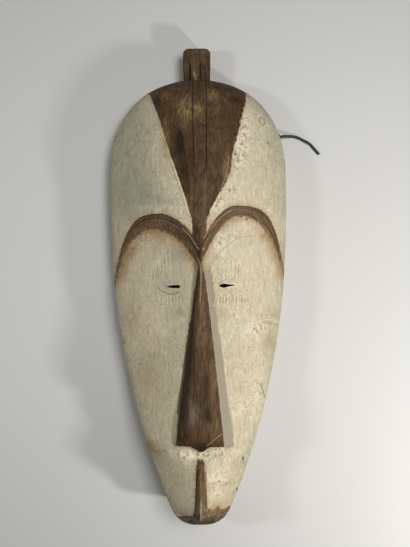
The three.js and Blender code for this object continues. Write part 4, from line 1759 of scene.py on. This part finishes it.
    def dress(self, colour: Socket, roughness: Value, height: Socket, strength: float, depth: float) -> None:
        """Feeds the tree's Principled shader.

        Args:
            colour: The base colour.
            roughness: The roughness.
            height: The height of the finest texture.
            strength: The strength of the bump that it makes.
            depth: The depth of that bump, in metres.
        """
        shader = self.tree.nodes["Principled BSDF"]
        self.wire(colour, shader.inputs["Base Color"])
        self.wire(roughness, shader.inputs["Roughness"])
        bump = self.add("ShaderNodeBump")
        bump.inputs["Strength"].default_value = strength
        bump.inputs["Distance"].default_value = depth
        self.wire(height, bump.inputs["Height"])
        self.wire(bump.outputs[0], shader.inputs["Normal"])


class SharedEffects:
    """The effects that more than one finish uses, as node groups."""

    def __init__(self) -> None:
        """Builds each group once."""
        self.grain = self.make_grain()
        self.specks = self.make_specks()

    @staticmethod
    def start(name: str, inputs: dict[str, float], outputs: Sequence[str]) -> tuple[NodeBench, Node, Node]:
        """Opens a group with named number sockets.

        Args:
            name: The group's name.
            inputs: The inputs with their first values.
            outputs: The outputs' names.

        Returns:
            The bench, the node that brings the inputs and the node that takes the outputs.
        """
        tree = bpy.data.node_groups.new(name, "ShaderNodeTree")
        for label, value in inputs.items():
            socket = tree.interface.new_socket(label, in_out="INPUT", socket_type="NodeSocketFloat")
            socket.default_value = value
        for label in outputs:
            tree.interface.new_socket(label, in_out="OUTPUT", socket_type="NodeSocketFloat")
        bench = NodeBench(tree)
        return bench, bench.add("NodeGroupInput"), bench.add("NodeGroupOutput")

    def make_grain(self) -> Tree:
        """Long fibres along Y.

        Returns:
            The group, which puts out a fine streak, a broad streak and a height.
        """
        inputs, outputs = {"Fine": 520.0, "Broad": 90.0}, ("Fine", "Broad", "Height")
        bench, given, taken = self.start("long_fibres", inputs, outputs)
        fine = bench.noise(Mottle(given.outputs["Fine"], 5.0, (1.0, 0.11, 1.0), 0.3, 0.66))
        broad = bench.noise(Mottle(given.outputs["Broad"], 6.0, (1.0, 0.25, 1.0), 1.7, 0.66))
        bench.wire(bench.span(fine, 0.34, 0.66), taken.inputs["Fine"])
        bench.wire(bench.span(broad, 0.33, 0.67), taken.inputs["Broad"])
        bench.wire(bench.times_plus(fine, 0.6, bench.times(broad, 0.4)), taken.inputs["Height"])
        return bench.tree

    def make_specks(self) -> Tree:
        """Small scattered flecks, more in some places than in others.

        Returns:
            The group, which puts out where the flecks are.
        """
        bench, given, taken = self.start("flecks", {"Size": 600.0, "Amount": 0.5}, ("Mask",))
        fleck = bench.noise(Mottle(given.outputs["Size"], 2.0, shift=4.1, roughness=0.5))
        patch = bench.noise(Mottle(22.0, 2.0, shift=9.2, roughness=0.5))
        level = bench.times_plus(patch, -0.22, bench.times_plus(given.outputs["Amount"], -0.18, 0.8))
        over = bench.maths("SUBTRACT", fleck, level)
        bench.wire(bench.span(over, 0.0, 0.05), taken.inputs["Mask"])
        return bench.tree


@dataclass(frozen=True)
class WhitenedWood:
    """White clay rubbed over light wood, with stained bare wood on the wedge, brows, nose and knob."""

    clay: Colour = (0.54, 0.475, 0.335)
    clay_green_and_shade: Colour = (0.35, 0.345, 0.255)
    # Greenish darker clay, used for patina and for painted shade
    clay_pink: Colour = (0.54, 0.44, 0.31)
    clay_pale: Colour = (0.76, 0.695, 0.54)
    clay_dirt: Colour = (0.2, 0.15, 0.095)
    clay_warm: Colour = (0.31, 0.193, 0.08)
    # Painted shade: the grey of the nose's side walls and of the cast shadow beside the right one
    nose_wall_shade_grey: Colour = (0.265, 0.235, 0.18)
    stain_dark: Colour = (0.022, 0.012, 0.006)
    stain_mid: Colour = (0.072, 0.04, 0.018)
    stain_red: Colour = (0.07, 0.033, 0.014)
    stain_light: Colour = (0.136, 0.085, 0.045)
    stain_warm: Colour = (0.28, 0.185, 0.08)
    stain_grey: Colour = (0.175, 0.14, 0.1)
    stain_scrape: Colour = (0.4, 0.3, 0.17)
    bare: Colour = (0.2, 0.125, 0.066)
    bare_dark: Colour = (0.08, 0.047, 0.025)
    clay_roughness: float = 0.9
    stain_roughness: float = 0.62
    shine: float = 0.18
    fine_fibres: float = 560.0
    broad_fibres: float = 190.0
    speck_size: float = 560.0
    speck_amount: float = 0.47
    bump_strength: float = 0.55
    bump_depth: float = 0.0006
    brushing: Mottle = Mottle(330.0, 5.0, (1.0, 0.16, 1.0), 14.0, 0.66, low=0.5, high=0.7)
    green_patches: Mottle = Mottle(34.0, 4.0, (1.0, 0.6, 1.0), 5.0, 0.6, strength=0.5)
    pink_patches: Mottle = Mottle(19.0, shift=8.0, low=0.5, high=0.75, strength=0.6)
    pale_patches: Mottle = Mottle(260.0, 6.0, (1.0, 0.45, 1.0), 1.0, 0.72, low=0.45, high=0.74)
    blots: Mottle = Mottle(95.0, 5.0, (1.0, 0.75, 1.0), 6.0, 0.65, low=0.54, high=0.8, strength=0.28)
    pits: Mottle = Mottle(250.0, 5.0, (1.0, 0.7, 1.0), 19.0, 0.7, low=0.5, high=0.6, strength=0.8)
    veins: Mottle = Mottle(150.0, shift=17.0, low=0.004, high=0.028, strength=0.3)
    wear: Mottle = Mottle(300.0, 4.0, shift=3.0, roughness=0.6)
    fringe: Mottle = Mottle(340.0, 4.0, (1.0, 0.6, 1.0), 2.2, 0.62)
    chalk: Mottle = Mottle(380.0, 5.0, shift=12.0, roughness=0.65)
    red_patches: Mottle = Mottle(30.0, 4.0, (1.0, 0.6, 1.0), 7.0, 0.6, low=0.42, high=0.6, strength=0.65)
    strokes: Mottle = Mottle(480.0, 3.0, (1.0, 0.14, 1.0), 21.0, 0.6, 0.28, low=0.44, high=0.6)
    chin_edge: Mottle = Mottle(150.0, 5.0, shift=11.0, roughness=0.65, low=0.5, high=0.62)
    chin_flakes: Mottle = Mottle(420.0, 4.0, shift=23.0, low=0.5, high=0.64, strength=0.55)

    def clay_colour(self, bench: NodeBench, specks: Socket, worn: Socket) -> Socket:
        """The clay: cream, with brushed streaks and cracks, greener and darker on the left and towards the
        edges as patina and painted shade, grey on the nose's walls as painted shade, and warm along the brows
        as tan wear and painted shade.

        Args:
            bench: The bench of the material.
            specks: Where the flecks are.
            worn: The noise of the wear.

        Returns:
            The colour of the clay.
        """
        brushed = bench.noise(self.brushing)
        patches = bench.times(bench.noise(self.green_patches), self.green_patches.strength)
        # Green patina and painted shade, from the note and from loose patches
        green_and_shade = bench.times_plus(brushed, 0.35, bench.times_plus(bench.number("green_and_shade"), 0.75, patches))
        clay = bench.blend(bench.span(green_and_shade, 0.45, 1.15), self.clay, self.clay_green_and_shade)
        clay = bench.dapple(clay, self.clay_pink, self.pink_patches)
        mottle = bench.noise(self.pale_patches)
        lift = bench.times_plus(bench.number("rough"), 0.14, mottle)
        lift = bench.span(lift, self.pale_patches.low, self.pale_patches.high)
        lift = bench.times(lift, bench.times_plus(bench.number("green_and_shade"), -0.45, 0.75))
        clay = bench.blend(lift, clay, self.clay_pale)
        streaks = bench.span(brushed, self.brushing.low, self.brushing.high)
        streaks = bench.times(streaks, bench.times_plus(bench.number("green_and_shade"), 0.15, 0.3))
        clay = bench.blend(streaks, clay, self.clay_dirt)
        clay = bench.dapple(clay, self.clay_dirt, self.blots)
        clay = bench.wash(clay, self.clay_warm, specks, 0.5)
        # Tan patches, and the fringe under the brows, which is partly painted shade
        warm = bench.times(bench.number("warm"), bench.span(worn, 0.4, 0.6, (0.6, 1.0)))
        clay = bench.blend(warm, clay, self.clay_warm)
        beside_stain = bench.times(bench.span(bench.number("stain"), -6.0, 0.5), bench.span(worn, 0.36, 0.62))
        clay = bench.wash(clay, self.clay_warm, beside_stain, 0.55)
        clay = bench.wash(clay, self.clay_pale, bench.number("rough"), 0.6)
        clay = bench.dapple(clay, self.clay_dirt, self.pits, bench.number("rough"))
        veins = bench.maths("ABSOLUTE", bench.maths("SUBTRACT", bench.noise(self.veins), 0.5))
        cracks = bench.rest_of(bench.span(veins, self.veins.low, self.veins.high))
        cracks = bench.times(cracks, bench.span(bench.number("rough"), 0.1, 0.9))
        clay = bench.wash(clay, self.clay_dirt, cracks, self.veins.strength)
        # Painted shade: the nose's walls and the strip of cheek beside the right one turn grey where the
        # slope note shows
        shaded_nose_wall = bench.wash(self.nose_wall_shade_grey, self.clay, mottle, 0.25)
        return bench.blend(bench.number("slope"), clay, shaded_nose_wall)

    def wood_colour(self, bench: NodeBench, fine: Socket, broad: Socket) -> Socket:
        """The stained wood: streaks of grain, redder and greyer patches, tan scratches and dark blotches,
        with painted shade on the nose's left slope and painted shade and highlight in the grooves and ridges
        along the brows.

        Args:
            bench: The bench of the material.
            fine: The fine streaks of the grain.
            broad: The broad streaks of the grain.

        Returns:
            The colour of the stained wood.
        """
        wood = bench.wash(self.stain_mid, self.stain_light, broad, 0.8)
        wood = bench.dapple(wood, self.stain_red, self.red_patches)
        wood = bench.wash(wood, self.stain_dark, bench.span(fine, 0.3, 1.0), 0.6)
        # Painted shade in the grooves along the brow arches and painted highlight on the ridges between them,
        # strongest near the root of the nose
        swing = bench.times_plus(bench.along_band(1.5, 2.5), 7.0, bench.times(bench.number("band"), 19.0))
        swing = bench.maths("SINE", swing)
        shown = bench.times(bench.number("band_on"), bench.number("band_root"))
        grooves = bench.times(shown, bench.span(swing, 0.1, 0.9, (0.0, 0.85)))
        ridge_highlight = bench.times(shown, bench.span(swing, -0.3, -0.95, (0.0, 0.6)))
        wood = bench.blend(ridge_highlight, bench.blend(grooves, wood, self.stain_dark), self.stain_warm)
        hatch = bench.times(bench.number("band_on"), bench.span(bench.along_band(1.0, 40.0), 0.42, 0.6))
        wood = bench.wash(wood, self.stain_light, hatch, 0.45)
        grey = bench.times_plus(broad, 0.3, bench.number("grey"))
        wood = bench.wash(wood, self.stain_grey, bench.span(grey, 0.35, 1.2), 0.8)
        strokes = bench.span(bench.noise(self.strokes), self.strokes.low, self.strokes.high, (0.22, 1.0))
        wood = bench.blend(bench.times(bench.number("warm"), strokes), wood, self.stain_warm)
        # Dark smudges, and the painted shade of the nose's left slope
        dark = bench.times_plus(bench.number("dark"), 0.9, bench.times(fine, 0.25))
        return bench.wash(wood, self.stain_dark, bench.span(dark, 0.2, 1.0), 0.88)

    def chin_colour(self, bench: NodeBench, colour: Socket, wood: Socket) -> Socket:
        """Lays the dark worn patch of the chin over the rest, with pale flakes and a ragged edge.

        Args:
            bench: The bench of the material.
            colour: The colour so far.
            wood: The colour of the stained wood.

        Returns:
            The new colour.
        """
        ragged = bench.noise(self.chin_edge)
        patch = bench.span(bench.times_plus(ragged, 2.4, bench.number("chin")), 1.5, 1.85)
        on_front = bench.rest_of(bench.number("wall"))
        worn = bench.dapple(wood, self.stain_scrape, self.chin_flakes, on_front)
        blotches = bench.span(ragged, self.chin_edge.low, self.chin_edge.high)
        worn = bench.wash(worn, self.stain_dark, blotches, 0.6)
        return bench.wash(colour, worn, patch, 0.92)

    def marks(self, bench: NodeBench, colour: Socket, stain: Socket, worn: Socket) -> Socket:
        """Lays the dark spots, the rubbed edge, the dirt in the cuts with the painted shadow lines beside the
        eye strokes, and the fresh scrapes over the rest.

        Args:
            bench: The bench of the material.
            colour: The colour so far.
            stain: Where the stained wood shows.
            worn: The noise of the wear.

        Returns:
            The new colour.
        """
        spots = bench.span(bench.times(bench.number("dark"), bench.rest_of(stain)), 0.3, 0.8)
        colour = bench.wash(colour, self.stain_dark, spots, 0.8)
        rubbed = bench.span(bench.times_plus(worn, 0.6, bench.number("edge")), 0.72, 0.95)
        colour = bench.wash(colour, self.stain_mid, rubbed, 0.7)
        # Dirt in the cuts, and painted shadow in the lines beside the eye strokes
        dirt = bench.span(bench.number(Tone.DIRT.value), 0.25, 1.0)
        colour = bench.wash(colour, bench.blend(stain, self.clay_dirt, self.stain_dark), dirt, 0.9)
        fresh = bench.span(bench.number(Tone.PALE.value), 0.2, 0.9)
        return bench.wash(colour, bench.blend(stain, self.clay_pale, self.stain_scrape), fresh, 0.85)

    def stain_edge(self, bench: NodeBench) -> Socket:
        """Where the stained wood shows, with a soft frayed edge along the brows, partly painted shade below
        them, and a crisp one elsewhere.

        Args:
            bench: The bench of the material.

        Returns:
            The share of stained wood, from nought to one.
        """
        streaked = bench.times(bench.number("tan_and_shade_fringe"), 0.6)
        fringe = bench.even_mix(streaked, bench.noise(self.fringe), bench.along_band(1.0, 40.0))
        fringe = bench.maths("SUBTRACT", fringe, 0.5)
        depth = bench.times_plus(fringe, bench.times(bench.number("fray_and_shade"), 3.4), bench.number("stain"))
        softness = bench.times_plus(bench.maths("POWER", bench.number("fray_and_shade"), 2.0), 0.35, 0.5)
        return bench.span(bench.maths("DIVIDE", depth, softness), -0.45, 0.5)

    def build(self, effects: SharedEffects) -> Material:
        """Makes the material.

        Args:
            effects: The shared node groups.

        Returns:
            The material, which reads the notes on the mesh of the mask.
        """
        material = bpy.data.materials.new("whitened_wood")
        material.use_nodes = True
        bench = NodeBench(material.node_tree)
        grain = bench.place(effects.grain, fine=self.fine_fibres, broad=self.broad_fibres)
        fine, broad = grain.outputs["Fine"], grain.outputs["Broad"]
        specks = bench.place(effects.specks, size=self.speck_size, amount=self.speck_amount).outputs["Mask"]
        worn = bench.noise(self.wear)
        stain = self.stain_edge(bench)

        wood = self.wood_colour(bench, fine, broad)
        colour = bench.blend(stain, self.clay_colour(bench, specks, worn), wood)
        colour = self.marks(bench, self.chin_colour(bench, colour, wood), stain, worn)
        raw = bench.wash(bench.blend(fine, self.bare, self.bare_dark), self.bare_dark, broad, 0.5)
        back = bench.number("bare")
        colour = bench.blend(back, colour, raw)
        side_wear = bench.times(bench.number("wall"), bench.span(worn, 0.52, 0.66))
        colour = bench.wash(colour, self.bare, side_wear, 0.6)

        roughness = bench.times_plus(stain, self.stain_roughness - self.clay_roughness, self.clay_roughness)
        roughness = bench.times_plus(fine, 0.06, roughness)
        chalk = bench.times(bench.noise(self.chalk), bench.times_plus(bench.number("rough"), 0.9, 0.6))
        chalk = bench.times_plus(specks, -0.4, chalk)
        fibre = bench.times(grain.outputs["Height"], 1.3)
        height = bench.even_mix(bench.maths("MAXIMUM", stain, back), chalk, fibre)
        bench.dress(colour, roughness, height, self.bump_strength, self.bump_depth)
        material.node_tree.nodes["Principled BSDF"].inputs["Specular IOR Level"].default_value = self.shine
        return material


@dataclass(frozen=True)
class BlackCord:
    """Matt black twisted cord with a little dust on it."""

    dark: Colour = (0.012, 0.011, 0.01)
    worn: Colour = (0.05, 0.045, 0.04)
    dust: Colour = (0.16, 0.14, 0.11)
    roughness: float = 0.8
    fine_fibres: float = 1500.0
    broad_fibres: float = 400.0
    dust_size: float = 1800.0
    dust_amount: float = 0.3
    bump_strength: float = 0.5
    bump_depth: float = 0.0002

    def build(self, effects: SharedEffects) -> Material:
        """Makes the material from fibres and flecks of dust.

        Args:
            effects: The shared node groups.

        Returns:
            The material.
        """
        material = bpy.data.materials.new("black_cord")
        material.use_nodes = True
        bench = NodeBench(material.node_tree)
        grain = bench.place(effects.grain, fine=self.fine_fibres, broad=self.broad_fibres)
        specks = bench.place(effects.specks, size=self.dust_size, amount=self.dust_amount)
        colour = bench.blend(grain.outputs["Fine"], self.dark, self.worn)
        colour = bench.wash(colour, self.dust, specks.outputs["Mask"], 0.5)
        roughness = bench.times_plus(grain.outputs["Fine"], 0.15, self.roughness)
        bench.dress(colour, roughness, grain.outputs["Height"], self.bump_strength, self.bump_depth)
        return material


@dataclass(frozen=True)
class PaleFloor:
    """The plain pale surface that the mask lies on."""

    size: float = 6.0
    colour: Colour = (0.62, 0.62, 0.61)
    darker_share: float = 0.97
    roughness: float = 0.9
    clouds: Mottle = Mottle(3.0, 2.0)

    def build(self) -> None:
        """Makes the floor, which isn't part of the object."""
        half = self.size / 2
        mesh = bpy.data.meshes.new("floor")
        corners = [(-half, -half, 0.0), (half, -half, 0.0), (half, half, 0.0), (-half, half, 0.0)]
        mesh.from_pydata(corners, [], [(0, 1, 2, 3)])
        floor = bpy.data.objects.new("floor", mesh)
        bpy.context.scene.collection.objects.link(floor)
        material = bpy.data.materials.new("pale_floor")
        material.use_nodes = True
        bench = NodeBench(material.node_tree)
        shader = material.node_tree.nodes["Principled BSDF"]
        darker = tuple(channel * self.darker_share for channel in self.colour)
        bench.wire(bench.blend(bench.noise(self.clouds), self.colour, darker), shader.inputs["Base Color"])
        shader.inputs["Roughness"].default_value = self.roughness
        mesh.materials.append(material)


@dataclass(frozen=True)
class Lamp:
    """One soft square light that faces the mask."""

    name: str
    where: Point3
    power: float
    size: float
    colour: Colour

    def place(self) -> None:
        """Sets the light up in the scene."""
        data = bpy.data.lights.new(self.name, "AREA")
        data.energy = self.power
        data.size = self.size
        data.color = self.colour
        lamp = bpy.data.objects.new(self.name, data)
        lamp.location = Vector(self.where) * MILLIMETRE
        lamp.rotation_euler = (-lamp.location).to_track_quat("-Z", "Y").to_euler()
        bpy.context.scene.collection.objects.link(lamp)


@dataclass(frozen=True)
class Studio:
    """The camera straight above the mask and the soft lights round it."""

    camera_place: Point3 = (7.5, 9.2, 565.0)
    camera_roll: float = -0.565
    lens: float = 19.74
    sensor_height: float = 24.0
    near_end: float = 0.01
    fill: float = 0.07
    lamps: tuple[Lamp, ...] = (
        Lamp("light_left", (-760.0, 60.0, 640.0), 2.2, 0.1, (1.0, 1.0, 0.97)),
        Lamp("light_right", (620.0, -400.0, 420.0), 4.1, 0.07, (1.0, 0.98, 0.94)),
        Lamp("light_above", (320.0, 160.0, 900.0), 5.4, 0.4, (1.0, 0.99, 0.96)),
    )

    def camera(self) -> None:
        """Places the camera at the viewing angle of the photograph."""
        data = bpy.data.cameras.new("camera")
        data.sensor_fit = "VERTICAL"
        data.sensor_height = self.sensor_height
        data.lens = self.lens
        data.clip_start = self.near_end
        camera = bpy.data.objects.new("camera", data)
        camera.location = Vector(self.camera_place) * MILLIMETRE
        camera.rotation_euler = (0.0, 0.0, math.radians(self.camera_roll))
        bpy.context.scene.collection.objects.link(camera)
        bpy.context.scene.camera = camera

    def light(self) -> None:
        """Sets the lamps, the soft fill from all round and plain colours."""
        for lamp in self.lamps:
            lamp.place()
        world = bpy.data.worlds.new("soft_fill")
        world.use_nodes = True
        backdrop = world.node_tree.nodes["Background"]
        backdrop.inputs["Color"].default_value = (1.0, 1.0, 1.0, 1.0)
        backdrop.inputs["Strength"].default_value = self.fill
        bpy.context.scene.world = world
        bpy.context.scene.view_settings.view_transform = "Standard"


def main() -> None:
    """Builds the scene: camera and cord first, then the mask, the floor and the lights."""
    logging.basicConfig(level=logging.INFO, format="%(name)s: %(message)s")
    studio = Studio()
    studio.camera()
    effects = SharedEffects()
    for piece in HangingCord().build(BlackCord().build(effects)):
        LOG.info("%s: %d faces", piece.name, len(piece.data.polygons))
    mask = CarvedMask().build(WhitenedWood().build(effects))
    LOG.info("%s: %d faces", mask.name, len(mask.data.polygons))
    PaleFloor().build()
    studio.light()


if __name__ == "__main__":
    main()
